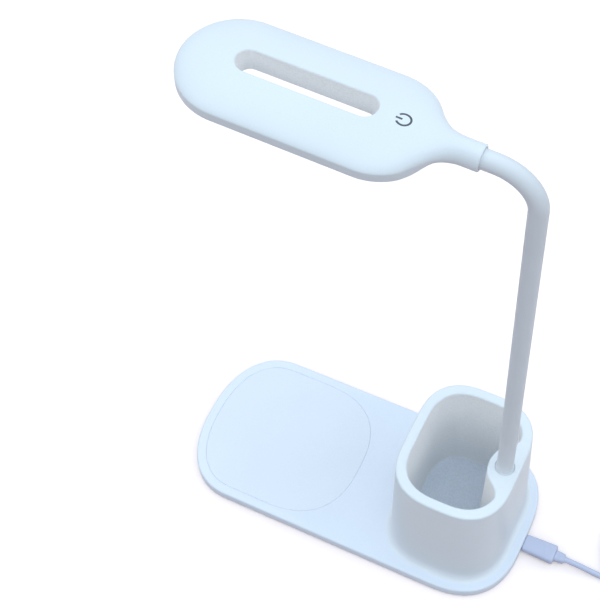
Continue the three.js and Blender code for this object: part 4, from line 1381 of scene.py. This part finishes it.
        # The two slits of the cross differ in depth, since floors in one plane spoil the cut
        for reach, slit, depth in self.screw_cross:
            recess = Skin()
            made = recess.block(
                (middle[0] - reach, middle[1] - slit, low - 1),
                (middle[0] + reach, middle[1] + slit, low + depth))
            high = [v for v in made if v.co.z > low]
            bmesh.ops.scale(
                recess.mesh, vec=(0.7, 0.7, 1), verts=high,
                space=Matrix.Translation(Vector((-middle[0], -middle[1], 0))))
            work_in(piece, recess.done("recess"))
        return dress(piece, STEEL, ON_BASE, Slot.STEEL, [f"base_screw_{number}"])


# The pen holder


@dataclass(frozen=True)
class PenHolder:
    """Soft rectangular cup whose right wall swells into a column round the neck."""

    bottom: float = 6.8
    top: float = 77.2
    wall: float = 5.5
    rim_round: float = 1.1
    draft: float = 1.8
    flare: float = 2.6
    flare_height: float = 6.0
    well_floor: float = 8.3
    well_draft: float = 1.5
    well_round: float = 1.2
    neck_x: float = 79.0
    nose_depth: float = 8.4
    nose_half: float = 11.8
    nose_end: float = math.radians(60)
    root: float = 23.0
    pocket: Step = (79.8, 16.5)
    seat: float = 5.06
    seat_depth: float = 3.0
    shaft_radius: float = 4.5
    shaft_bottom: float = 44.0
    ring_inner: float = 4.29
    ring_outer: float = 4.82
    plan: SoftPlan = SoftPlan(27.1, 87.1, 36.75, 28.0, 28.0)
    count: int = 360

    def build(self) -> None:
        """Builds and dresses the pen holder and its grommet."""
        self.cup()
        self.grommet()

    def well_line(self) -> Outline:
        """Plan of the well below its rim: the cup's inside with the column's nose in it."""
        wall = [Vector(p) for p in self.plan.outline(self.wall, 1440).points]
        right = [p for p in wall if p.x > self.neck_x - 6 and 0 < p.y < self.root + 3]
        landing = min(right, key=lambda p: abs(p.y - self.root))
        nose = [Vector((
            self.neck_x - self.nose_depth * math.cos(a), self.nose_half * math.sin(a)))
            for a in [self.nose_end * index / 60 for index in range(61)]]
        leaving = Vector((
            self.nose_depth * math.sin(self.nose_end),
            self.nose_half * math.cos(self.nose_end))).normalized()
        spot = wall.index(landing)
        arriving = (wall[spot + 1] - wall[spot - 1]).normalized()
        pull = (landing - nose[-1]).length * 0.52
        fillet = pulled(
            nose[-1], nose[-1] + leaving * pull, landing - arriving * pull, landing, 40)[1:-1]
        half = nose + fillet + wall[spot:len(wall) // 2 + 1]
        mirror = [Vector((p.x, -p.y)) for p in reversed(half[1:-1])]
        return Outline(tuple(tuple(p) for p in half + mirror)).evenly(self.count)

    def give(self, line: Outline) -> list[float]:
        """Shares by which the well's line may move in, less in the pockets beside the nose."""
        shares = []
        for x, y in line.points:
            away = math.dist((x, abs(y)), self.pocket)
            shares.append(lerp(0.35, 1.0, smooth(share(away, 2.0, 10.0))))
        return shares

    def cup(self) -> bpy.types.Object:
        """The cup in one piece, from its flared foot over the rim down to the well's floor."""
        spread = -self.draft - self.flare
        outside: list[Step] = [(spread + 0.6, self.bottom - 0.03), (spread, self.bottom - 0.03)]
        for a in quarter_turn(14):
            outside.append((
                -self.draft - self.flare * (1 - math.sin(a)),
                self.bottom + 0.02 + self.flare_height * (1 - math.cos(a))))
        outside.append((-0.9, lerp(self.bottom + self.flare_height, self.top, 0.5)))
        outside += round_over(self.rim_round, self.top, count=8)
        outside.append((self.rim_round + 0.35, self.top))
        rings = [self.plan.outline(by, self.count).at(height) for by, height in outside]
        line = self.well_line()
        give = self.give(line)
        inside: list[Step] = [(-self.rim_round - 0.35, self.top)]
        inside += [(-by, height) for by, height in reversed(round_over(
            self.rim_round, self.top, count=8))]
        inside.append((0.7, lerp(self.top, self.well_floor, 0.5)))
        for a in quarter_turn(8):
            inside.append((
                self.well_draft + self.well_round * (1 - math.cos(a)),
                self.well_floor + self.well_round * (1 - math.sin(a))))
        inside.append((self.well_draft + self.well_round + 0.4, self.well_floor))
        skin = Skin()
        _, rim = skin.loft(rings, caps=(True, False))
        wells = [
            line.drawn_in(by, give if by > 0 else None).at(height) for by, height in inside]
        mouth, _ = skin.loft(wells, caps=(False, True))
        bmesh.ops.triangle_fill(
            skin.mesh, edges=rim + mouth, use_beauty=True, use_dissolve=False, normal=(0, 0, 1))
        piece = skin.done("pen_cup")
        low, wide, axis = self.top - self.seat_depth, self.seat + 0.07, Vector((self.neck_x, 0, 0))
        work_in(piece, spun("seat", [
            (0, low), (self.seat, low), (self.seat, self.top - 0.06), (wide, self.top + 0.01),
            (wide, self.top + 2), (0, self.top + 2)], axis, 96))
        work_in(piece, spun("shaft", [
            (0, self.shaft_bottom), (self.shaft_radius, self.shaft_bottom),
            (self.shaft_radius, self.top - 2), (0, self.top - 2)], axis, 64))
        dress(piece, HOUSING, ON_BASE, Slot.HOUSING, ["pen_holder"])
        middle = self.plan.outline(self.wall / 2, 72).points
        ledge = self.well_floor + self.well_round * 0.3

        def in_well(place: Vector, _: Vector) -> bool:
            """Whether a face belongs to the walls of the well."""
            return ledge < place.z < self.top - self.rim_round * 0.6 and holds(
                middle, place.x, place.y)

        def on_floor(place: Vector, normal: Vector) -> bool:
            """Whether a face belongs to the floor of the well."""
            return self.bottom + 1 < place.z <= ledge and normal.z > 0 and holds(
                middle, place.x, place.y)

        # The well's walls take the whiter copy of the plastic, painted light in the hollow
        refinish(piece, INSIDE_PAINTED_LIGHT, in_well)
        # The well's floor takes the bluish copy of the plastic, painted light from above
        refinish(piece, WELL_FLOOR_PAINTED_LIGHT, on_floor)
        return piece

    def grommet(self) -> bpy.types.Object:
        """Thin ring round the foot of the neck."""
        top, inner, outer = self.top, self.ring_inner, self.ring_outer
        profile = [
            (inner, top - self.seat_depth), (outer, top - self.seat_depth), (outer, top - 0.1),
            (outer - 0.03, top - 0.02), (outer - 0.1, top), (inner + 0.09, top),
            (inner + 0.02, top - 0.03), (inner, top - 0.1)]
        piece = spun("neck_ring", profile, Vector((self.neck_x, 0, 0)), 96, closed=True)
        return dress(piece, HOUSING, ON_BASE, Slot.UNDER_COVER, ["neck_grommet"])


# The neck


@dataclass(frozen=True)
class FlexibleNeck:
    """Sleeved gooseneck, one piece of sleeve and of hose for each hinge of the frame."""

    x: float = 79.0
    rim: float = 77.2
    radius: float = 4.25
    bore: float = 2.6
    core: float = 2.2
    hose_pitch: float = 1.5
    hose_ridge: float = 0.22
    hose_below: float = 9.0
    hose_above: float = 5.0
    straight: float = 214.9
    bend_radius: float = 20.0
    lead: float = 4.1
    insert: float = 24.0
    collar: float = 12.0
    first_hinge: float = 22.0
    spacing: float = 36.0
    lean: float = math.radians(0.5)
    tilt: float = math.radians(2.9)

    @property
    def turn(self) -> float:
        """How far the bend turns."""
        return math.pi / 2 - self.tilt - self.lean

    @property
    def bend(self) -> float:
        """Length of the bend."""
        return self.bend_radius * self.turn

    @property
    def length(self) -> float:
        """Length of the neck from the rim to the head."""
        return self.straight + self.bend + self.lead

    def heading(self, s: float) -> float:
        """Which way the neck points at s, from straight up towards the charging end."""
        if s <= self.first_hinge:
            return 0.0
        if s <= self.straight:
            return self.lean
        return self.lean + self.turn * min(1.0, (s - self.straight) / self.bend)

    def point(self, s: float) -> Vector:
        """The neck's middle line at s above the rim of the pen holder."""
        place = Vector((self.x, 0, self.rim + min(s, self.first_hinge)))
        if s > self.first_hinge:
            run = min(s, self.straight) - self.first_hinge
            place += Vector((-math.sin(self.lean), 0, math.cos(self.lean))) * run
        if s > self.straight:
            way = self.heading(s)
            place.x += self.bend_radius * (math.cos(way) - math.cos(self.lean))
            place.z += self.bend_radius * (math.sin(way) - math.sin(self.lean))
        past = s - self.straight - self.bend
        if past > 0:
            way = self.heading(s)
            place += Vector((-math.sin(way), 0, math.cos(way))) * past
        return place

    def ring(self, s: float, radius: float, count: int = 64) -> Ring:
        """A ring round the neck at s."""
        way, middle = self.heading(s), self.point(s)
        across = Vector((math.cos(way), 0, math.sin(way)))
        return [
            middle + across * (radius * math.cos(a)) + Vector((0, radius * math.sin(a), 0))
            for a in full_turn(count)]

    def hinges(self) -> list[float]:
        """Where the neck's hinges are along it."""
        upright = [self.first_hinge + index * self.spacing for index in range(6)]
        return upright + [self.straight + self.bend * (index + 0.5) / 3 for index in range(3)]

    def build(self) -> None:
        """Builds and dresses the neck, hinge by hinge."""
        hinges = self.hinges()
        bodies = ["root", *(f"neck_{index}" for index in range(1, 9)), "head"]
        starts = [-self.insert, *((a + b) / 2 for a, b in zip(hinges, hinges[1:]))]
        ends = [*starts[1:], self.length + self.collar]
        for index, hinge in enumerate(hinges):
            room = 0.9 * min(hinge - starts[index], ends[index] - hinge)
            ride = Ride(
                bodies[index], bodies[index + 1],
                tuple(self.point(hinge - room) * MM), tuple(self.point(hinge + room) * MM))
            sleeves, cores = [f"neck_sleeve_{index}"], [f"neck_core_{index}"]
            if index == len(hinges) - 1:
                sleeves.append("neck_sleeve_9")
                cores.append("neck_core_9")
            self.sleeve(index + 1, starts[index], ends[index], ride, sleeves)
            first = starts[index] - (self.hose_below if index == 0 else 0.0)
            last = ends[index] + (self.hose_above if index == len(hinges) - 1 else 0.0)
            self.hose(index + 1, first, last, ride, cores)

    def stations(self, start: float, end: float, step: float) -> list[float]:
        """Places along the neck, no further apart than step."""
        count = max(2, math.ceil((end - start) / step))
        return [lerp(start, end, index / count) for index in range(count + 1)]

    def sleeve(
        self, number: int, start: float, end: float, ride: Ride, stands_for: list[str]
    ) -> bpy.types.Object:
        """One stretch of the silicone sleeve, a thick-walled tube."""
        step = 0.7 if end > self.straight else 1.6
        places = self.stations(start, end, step)
        rings = [self.ring(s, self.radius) for s in places]
        rings += [self.ring(s, self.bore) for s in reversed(places)]
        return dress(
            solid(f"sleeve_stretch_{number}", rings, closed=True), SLEEVE, ride, Slot.SLEEVE,
            stands_for)

    def hose(
        self, number: int, start: float, end: float, ride: Ride, stands_for: list[str]
    ) -> bpy.types.Object:
        """One stretch of the wound steel hose inside the sleeve, with a ridge for every turn."""
        rings = []
        for s in self.stations(start, end, self.hose_pitch / 5):
            sunk = 0.5 - 0.5 * math.cos(s / self.hose_pitch * math.tau)
            rings.append(self.ring(s, self.core - self.hose_ridge * sunk, 28))
        return dress(
            solid(f"hose_stretch_{number}", rings), HOSE_STEEL, ride, Slot.STEEL, stands_for)


# The light head


@dataclass(frozen=True)
class LightHead:
    """Slotted light head: a crowned shell that flows into a collar round the neck."""

    length: float = 112.3
    width: float = 51.2
    crown: float = 6.1
    crown_power: float = 1.3
    side: float = 4.7
    wall: float = 1.8
    reach: float = 74.5
    neck_start: float = 46.0
    neck_end: float = 67.0
    round_from: float = 50.0
    round_to: float = 58.0
    collar_end: float = 73.4
    collar_radius: float = 5.65
    collar_rise: float = 1.65
    collar_depth: float = 12.0
    collar_round: float = 0.5
    edge_round: float = 0.8
    slot_length: float = 60.8
    slot_width: float = 11.1
    slot_at: Step = (-1.2, 0.85)
    slot_round: float = 0.8
    slot_draft: float = 1.0
    skirt_length: float = 64.0
    skirt_width: float = 15.2
    skirt_at: Step = (-0.8, 0.4)
    diffuser_gap: float = 0.3
    diffuser_thickness: float = 1.6
    bore: tuple[Step, ...] = (
        (0, 0), (4.5, 0), (4.5, 10.5), (4.56, 10.75), (4.7, 10.91), (4.7, 14), (0, 14))
    symbol_at: Step = (40.1, 0.65)
    symbol_reach: Step = (2.98, 2.72)
    symbol_gap: float = math.radians(38)
    bar_start: float = 0.3
    bar_length: float = 2.7
    stroke_width: float = 0.86
    stroke_profile: tuple[Step, ...] = (
        (0.5, -0.25), (0.5, 0.01), (0.44, 0.035), (-0.44, 0.035), (-0.5, 0.01), (-0.5, -0.25))
    neck: FlexibleNeck = field(default_factory=FlexibleNeck)

    @property
    def half_width(self) -> float:
        """Half the head's width."""
        return self.width / 2

    @property
    def end_centre(self) -> float:
        """How far from the middle the round ends have their centres."""
        return self.length / 2 - self.half_width

    def frame(self) -> Matrix:
        """From the head's own frame, u along it, v across and w up, to the lamp's."""
        tilt = self.neck.tilt
        axis = Vector((math.cos(tilt), 0, -math.sin(tilt)))
        up = Vector((math.sin(tilt), 0, math.cos(tilt)))
        origin = self.neck.point(self.neck.length) - axis * self.reach - up * self.collar_rise
        return Matrix((
            (axis.x, 0, up.x, origin.x), (0, 1, 0, 0), (axis.z, 0, up.z, origin.z),
            (0, 0, 0, 1)))

    def width_at(self, u: float, less: float = 0.0) -> float:
        """Half width of the round-ended bar at u."""
        radius = self.half_width - less
        off = max(0.0, abs(u) - self.end_centre)
        return math.sqrt(max(0.0, radius ** 2 - off ** 2))

    def shoulder(self, count: int) -> list[Step]:
        """Points of the line in plan from the round end into the collar, as (u, half width)."""
        start = self.width_at(self.neck_start)
        slope = (self.neck_start - self.end_centre) / start
        run = self.neck_end - self.neck_start
        pull = run * 0.26
        a = Vector((self.neck_start, start))
        b = Vector((self.neck_start + pull, start - pull * slope))
        c = Vector((self.neck_end - run * 0.6, self.collar_radius))
        d = Vector((self.neck_end, self.collar_radius))
        return [tuple(point) for point in pulled(a, b, c, d, count)]

    def ridge(self, u: float, half: float) -> float:
        """Height of the crown's ridge at u over that half width."""
        to_collar = smooth(share(u, self.end_centre, self.neck_end))
        return lerp(
            self.crown * half / self.half_width, self.collar_rise + self.collar_radius, to_collar)

    def crown_at(self, u: float, v: float) -> float:
        """Height of the crown over a point of the plan."""
        half = self.width_at(u)
        left = max(0.0, 1 - (v / max(half, 1e-6)) ** 2)
        return self.ridge(u, half) * left ** (self.crown_power / 2)

    def under_line(self, wide: float, edge: float, low: float, count: int) -> list[Step]:
        """The lower half of a section: down one side, round its edge, across and up again."""
        r = min(self.edge_round, wide * 0.6)
        side, arc = 4, 8
        across = count - 2 * (side + arc)
        line: list[Step] = []
        for index in range(side):
            line.append((-wide, lerp(edge, low + r, index / side)))
        for a in quarter_turn(arc)[:-1]:
            line.append((-wide + r - r * math.cos(a), low + r - r * math.sin(a)))
        for index in range(across + 1):
            line.append((lerp(-wide + r, wide - r, index / across), low))
        mirror = [(-v, w) for v, w in reversed(line[:side + arc])]
        return line + mirror

    def section(self, u: float, half: float, count: int = 160) -> Ring:
        """A cross-section of the head: crowned above and flat below, a circle at the collar.

        Args:
            u: Where along the head it stands.
            half: Half width of the head there.
            count: Number of points, an even number.

        Returns:
            The section's points in the head's own frame.
        """
        turn = smooth(share(u, self.neck_start, self.neck_end))
        rounded = smooth(share(u, self.round_from, self.round_to))
        top = self.ridge(u, half)
        edge = self.collar_rise * turn
        low = lerp(-self.side, self.collar_rise - self.collar_radius, turn)
        bulge = lerp(self.crown_power, 1.0, turn)
        under = self.under_line(half, edge, low, count // 2)
        ring = []
        for index, angle in enumerate(full_turn(count)):
            cos, sin = math.cos(angle), math.sin(angle)
            if index <= count // 2:
                v, w = half * cos, edge + (top - edge) * max(0.0, sin) ** bulge
            else:
                flat_v, flat_w = under[index - count // 2]
                v = lerp(half * cos, flat_v, 1 - rounded)
                w = lerp(edge + (edge - low) * sin, flat_w, 1 - rounded)
            ring.append(Vector((u, v, w)))
        return ring

    def stations(self) -> list[Step]:
        """Where the head's sections stand, as (u, half width), from its tip to the collar."""
        line: list[Step] = []
        for index in range(31):
            angle = lerp(0.025, 1.0, (index / 30) ** 1.1) * math.pi / 2
            u = -self.end_centre - self.half_width * math.cos(angle)
            line.append((u, self.width_at(u)))
        for index in range(1, 30):
            line.append((lerp(-self.end_centre, self.end_centre, index / 30), self.half_width))
        last = math.asin((self.neck_start - self.end_centre) / self.half_width)
        for index in range(14):
            u = self.end_centre + self.half_width * math.sin(last * index / 14)
            line.append((u, self.width_at(u)))
        line += self.shoulder(30)
        line += [
            (lerp(self.neck_end, self.collar_end - self.collar_round, index / 6),
             self.collar_radius) for index in range(1, 7)]
        return line

    def build(self) -> None:
        """Builds and dresses the head."""
        self.shell()
        self.diffuser()
        self.symbol()

    def shell(self) -> bpy.types.Object:
        """The shell with its slot, the hollow for the lights and the collar's bore."""
        rings = [self.section(u, half) for u, half in self.stations()]
        middle = Vector((self.collar_end, 0, self.collar_rise))
        for a in quarter_turn(6)[1:]:
            u = self.collar_end - self.collar_round * (1 - math.sin(a))
            left = 1 - self.collar_round * (1 - math.cos(a)) / self.collar_radius
            rings.append([
                Vector((u, p.y * left, middle.z + (p.z - middle.z) * left))
                for p in self.section(self.collar_end, self.collar_radius)])
        rings.append([middle + (p - middle) * 0.88 for p in rings[-1]])
        piece = solid("head_cover", rings)
        work_in(piece, self.hollow())
        work_in(piece, self.slot_tool())
        work_in(piece, self.collar_bore())
        straighten(piece)
        piece.data.transform(self.frame())
        dress(piece, HOUSING, ON_HEAD, Slot.HOUSING, ["head_shell"], math.radians(42))
        back = self.frame().inverted()
        bar = RoundBar(
            self.slot_length + 1.0, self.slot_width + 1.0, *self.slot_at).outline().points

        def in_slot(place: Vector, _: Vector) -> bool:
            """Whether a face belongs to the walls of the slot."""
            u, v, w = back @ place
            return w < self.crown_at(u, v) - self.slot_round * 0.5 and holds(bar, u, v)

        # The slot's walls take the whiter copy of the plastic, painted light in the hollow
        refinish(piece, INSIDE_PAINTED_LIGHT, in_slot)
        return piece

    def hollow(self) -> bpy.types.Object:
        """What is cut out of the head from below, with the slot's skirt left standing."""
        inner = self.length / 2 - self.wall
        floor, least = -self.side - 3.0, 0.02
        spots = ((-1, 0), (-1, 1), (1, 1), (1, 0))
        rings = []
        count = 96
        for index in range(61):
            u = -inner * math.cos(index / 60 * math.pi)
            u = max(-inner + least, min(inner - least, u))
            half = self.width_at(u, self.wall)
            peak = max(0.4, self.crown * self.width_at(u) / self.half_width - self.wall)
            ring = []
            for place, angle in enumerate(full_turn(count)):
                cos, sin = math.cos(angle), math.sin(angle)
                if sin >= 0:
                    ring.append(Vector((u, half * cos, peak * sin)))
                    continue
                part = (place - count / 2) / (count / 2)
                leg = min(2, int(part * 3))
                v, w = (
                    lerp(here, there, part * 3 - leg)
                    for here, there in zip(spots[leg], spots[leg + 1]))
                ring.append(Vector((u, half * v, floor * w)))
            rings.append(ring)
        tool = solid("hollow", rings)
        bar = RoundBar(self.skirt_length, self.skirt_width, *self.skirt_at).outline()
        work_in(tool, solid("core", [bar.at(floor - 1), bar.at(self.crown + 3)]))
        return tool

    def slot_tool(self) -> bpy.types.Object:
        """The slot's cutter: it narrows a little downwards and rounds over into the crown."""
        bar = RoundBar(self.slot_length, self.slot_width, *self.slot_at)
        rounded, steepest = self.slot_round, math.radians(76)
        low, bevel = self.slot_draft, 0.25
        rings = [bar.outline(low - bevel).at(-self.side - 2)]
        rings += [bar.outline(low - bevel * part).at(-self.side + bevel * (1 - part))
                  for part in (1.0, 0.5, 0.0)]
        rings.append(bar.outline(low / 2).at(0))
        for index in range(8):
            a = steepest * index / 7
            line = bar.outline(-rounded * (1 - math.cos(a)))
            rings.append([
                Vector((x, y, self.crown_at(x, y) - rounded * (1 - math.sin(a))))
                for x, y in line.points])
        rings.append([
            Vector((x, y, self.crown_at(x, y) + 0.6)) for x, y in bar.outline(-0.85).points])
        rings.append(bar.outline(-1.1).at(self.crown + 3))
        return solid("slot", rings)

    def collar_bore(self) -> bpy.types.Object:
        """The cutter of the bore in the collar that the sleeve runs into."""
        place = Matrix.Translation((self.reach - self.collar_depth, 0, self.collar_rise))
        turn = Matrix.Rotation(math.pi / 2, 4, "Y")
        return Skin().turned(self.bore, Vector((0, 0, 0)), 96).moved(place @ turn).done("bore")

    def diffuser(self) -> bpy.types.Object:
        """Milky ring under the lights, flush with the shell's lower edge."""
        slack, edge, corner, flat = 2 * self.diffuser_gap, 0.3, 0.08, 1.2
        outer = RoundBar(self.length - 2 * self.wall - slack, self.width - 2 * self.wall - slack)
        inner = RoundBar(self.skirt_length + slack, self.skirt_width + slack, *self.skirt_at)
        low, high = -self.side, -self.side + self.diffuser_thickness
        rings = [
            outer.outline(edge).at(low), outer.outline(corner).at(low + corner),
            outer.outline().at(low + edge), outer.outline().at(high),
            inner.outline().at(high), inner.outline().at(low + edge),
            inner.outline(-corner).at(low + corner), inner.outline(-edge).at(low),
            inner.outline(-flat).at(low), outer.outline(flat).at(low)]
        skin = Skin()
        skin.loft(rings, closed=True)
        piece = skin.moved(self.frame()).done("light_diffuser")
        return dress(piece, DIFFUSER, ON_HEAD, Slot.DIFFUSER, ["head_diffuser"])

    def stroke(self, skin: Skin, path: Sequence[Step]) -> None:
        """Adds one printed stroke along a path in plan, laid on the crown."""
        rings = []
        for index, (u, v) in enumerate(path):
            before = Vector(path[max(0, index - 1)])
            after = Vector(path[min(len(path) - 1, index + 1)])
            along = (after - before).normalized()
            side = Vector((-along.y, along.x))
            ring = []
            for across, up in self.stroke_profile:
                x = u + side.x * across * self.stroke_width
                y = v + side.y * across * self.stroke_width
                ring.append(Vector((x, y, self.crown_at(x, y) + up)))
            rings.append(ring)
        skin.loft(rings)

    def symbol(self) -> bpy.types.Object:
        """The power symbol over the touch switch: an open ring and a short bar."""
        (u, v), (long, tall), gap = self.symbol_at, self.symbol_reach, self.symbol_gap
        arc = []
        for index in range(73):
            a = math.pi + gap + (math.tau - 2 * gap) * index / 72
            arc.append((u + long * math.cos(a), v + tall * math.sin(a)))
        bar = [
            (u - long - self.bar_start + self.bar_length * index / 8, v) for index in range(9)]
        skin = Skin()
        self.stroke(skin, arc)
        self.stroke(skin, bar)
        piece = skin.moved(self.frame()).done("power_symbol")
        return dress(piece, INK, ON_HEAD)


# The studio


@dataclass(frozen=True)
class Studio:
    """Camera, light, floor and surroundings, with angles in degrees."""

    camera_place: tuple[float, float, float] = (166.39, -338.10, 760.12)
    yaw: float = -30.38
    pitch: float = 56.85
    roll: float = -4.89
    lens: float = 90.08
    sky: float = 2.10
    glow: float = 0.25
    paper: Rgb = (1.0, 0.84, 0.81)
    bounce: Rgb = (0.30, 0.28, 0.29)
    floor_reach: float = 6.0
    lamp_strength: float = 0.35
    lamp_colour: Rgb = (0.55, 0.92, 1.0)
    lamp_lean: tuple[float, float] = (4.0, 4.0)
    lamp_size: float = 30.0
    by_height: tuple[tuple[float, Rgb], ...] = (
        (0.0, (0.11, 0.11, 0.12)), (0.35, (0.295, 0.285, 0.30)), (0.6, (0.83, 0.885, 0.92)),
        (0.8, (0.73, 0.865, 1.0)), (1.0, (0.21, 0.335, 0.41)))
    by_side: tuple[float, float, float] = (0.88, 0.55, 1.0)

    def camera(self) -> None:
        """Sets up the camera at the photograph's place."""
        yaw, pitch, roll = (math.radians(a) for a in (self.yaw, self.pitch, self.roll))
        ahead = Vector((
            math.sin(yaw) * math.cos(pitch), math.cos(yaw) * math.cos(pitch), -math.sin(pitch)))
        right = Vector((math.cos(yaw), -math.sin(yaw), 0))
        up = right.cross(ahead)
        level = right * math.cos(roll) + up * math.sin(roll)
        upright = up * math.cos(roll) - right * math.sin(roll)
        data = bpy.data.cameras.new("camera")
        data.lens, data.sensor_width = self.lens, 36.0
        data.clip_start, data.clip_end = 0.02, 60.0
        view = bpy.data.objects.new("camera", data)
        back = -ahead
        turned = Matrix((
            (level.x, upright.x, back.x, 0), (level.y, upright.y, back.y, 0),
            (level.z, upright.z, back.z, 0), (0, 0, 0, 1)))
        view.matrix_world = Matrix.Translation(Vector(self.camera_place) * MM) @ turned
        bpy.context.scene.collection.objects.link(view)
        bpy.context.scene.camera = view

    def light(self) -> None:
        """One broad soft light from above, without any tone curve."""
        bpy.context.scene.view_settings.view_transform = "Standard"
        data = bpy.data.lights.new("soft_top_light", "SUN")
        data.energy = self.lamp_strength
        data.angle = math.radians(self.lamp_size)
        data.color = self.lamp_colour
        lamp = bpy.data.objects.new("soft_top_light", data)
        lamp.rotation_euler = (*(math.radians(a) for a in self.lamp_lean), 0)
        bpy.context.scene.collection.objects.link(lamp)

    def surroundings(self) -> None:
        """The world: white to the eye and in reflections, a level pale light for the rest."""
        world = bpy.data.worlds.new("surroundings")
        world.use_nodes = True
        bench = Bench(world.node_tree)
        seen = bench.seen()
        way = bench.parts(bench.node("ShaderNodeTexCoord").outputs["Generated"])
        height = bench.tones(way["Z"], self.by_height)
        side = bench.tones(bench.spread(way["X"], 0.0, 1.0, -1.0, 1.0), [
            (index / 2, (share_of_it,) * 3) for index, share_of_it in enumerate(self.by_side)])
        light = bench.mixed(height, side, 1.0, "MULTIPLY")
        bench.feed(
            world.node_tree.nodes["Background"], Color=bench.mixed(light, WHITE, seen),
            Strength=bench.spread(seen, self.sky, 1.0, 0.0, 1.0))
        bpy.context.scene.world = world

    def floor(self) -> None:
        """A wide pale floor that keeps the lamp's shadow."""
        work = bmesh.new()
        bmesh.ops.create_grid(work, x_segments=2, y_segments=2, size=self.floor_reach)
        data = bpy.data.meshes.new("floor")
        work.to_mesh(data)
        work.free()
        plane = bpy.data.objects.new("floor", data)
        bpy.context.scene.collection.objects.link(plane)
        material, bench = blank("floor_paper")
        seen = bench.seen()
        bench.shade(
            Base_Color=bench.mixed((*self.bounce, 1), (*self.paper, 1), seen),
            Roughness=0.9,
            Specular_IOR_Level=0.0,
            Emission_Color=WHITE,
            Emission_Strength=bench.spread(seen, 0.0, self.glow, 0.0, 1.0),
        )
        data.materials.append(material)

    def build(self) -> None:
        """Sets up the whole studio."""
        self.light()
        self.surroundings()
        self.floor()


def carried_over(nodes: dict[str, bpy.types.Object]) -> None:
    """Gives the CAD nodes inside the lamp their finishes."""
    head = LightHead()
    level = head.frame() @ Vector((0, 0, -0.6))
    up = Vector((math.sin(head.neck.tilt), 0, math.cos(head.neck.tilt)))
    light = LightBoard(
        "light_board_lacquer", (0.82, 0.84, 0.84), (0.85, 0.55, 0.10), head.neck.tilt,
        level.dot(up) * MM)
    repaint(nodes, COPPER, "charging_coil")
    repaint(nodes, FERRITE, "ferrite_sheet")
    repaint(nodes, STEEL, "ballast_plate", "usb_socket", "usb_plug_tip", "holder_screw_1",
            "holder_screw_2", "neck_ferrule", "head_ferrule", "head_screw_1", "head_screw_2",
            "touch_spring")
    repaint(nodes, BOARD, "main_board")
    repaint(nodes, TOUCH_BOARD, "touch_board")
    repaint(nodes, light, "led_board")


def main() -> None:
    """Builds the lamp over its frame."""
    logging.basicConfig(level=logging.INFO, format="%(message)s")
    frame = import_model()
    studio = Studio()
    studio.camera()
    SupplyLead().build()
    BasePlate().build()
    PenHolder().build()
    FlexibleNeck().build()
    LightHead().build()
    carried_over(frame["nodes"])
    studio.build()


if __name__ == "__main__":
    main()
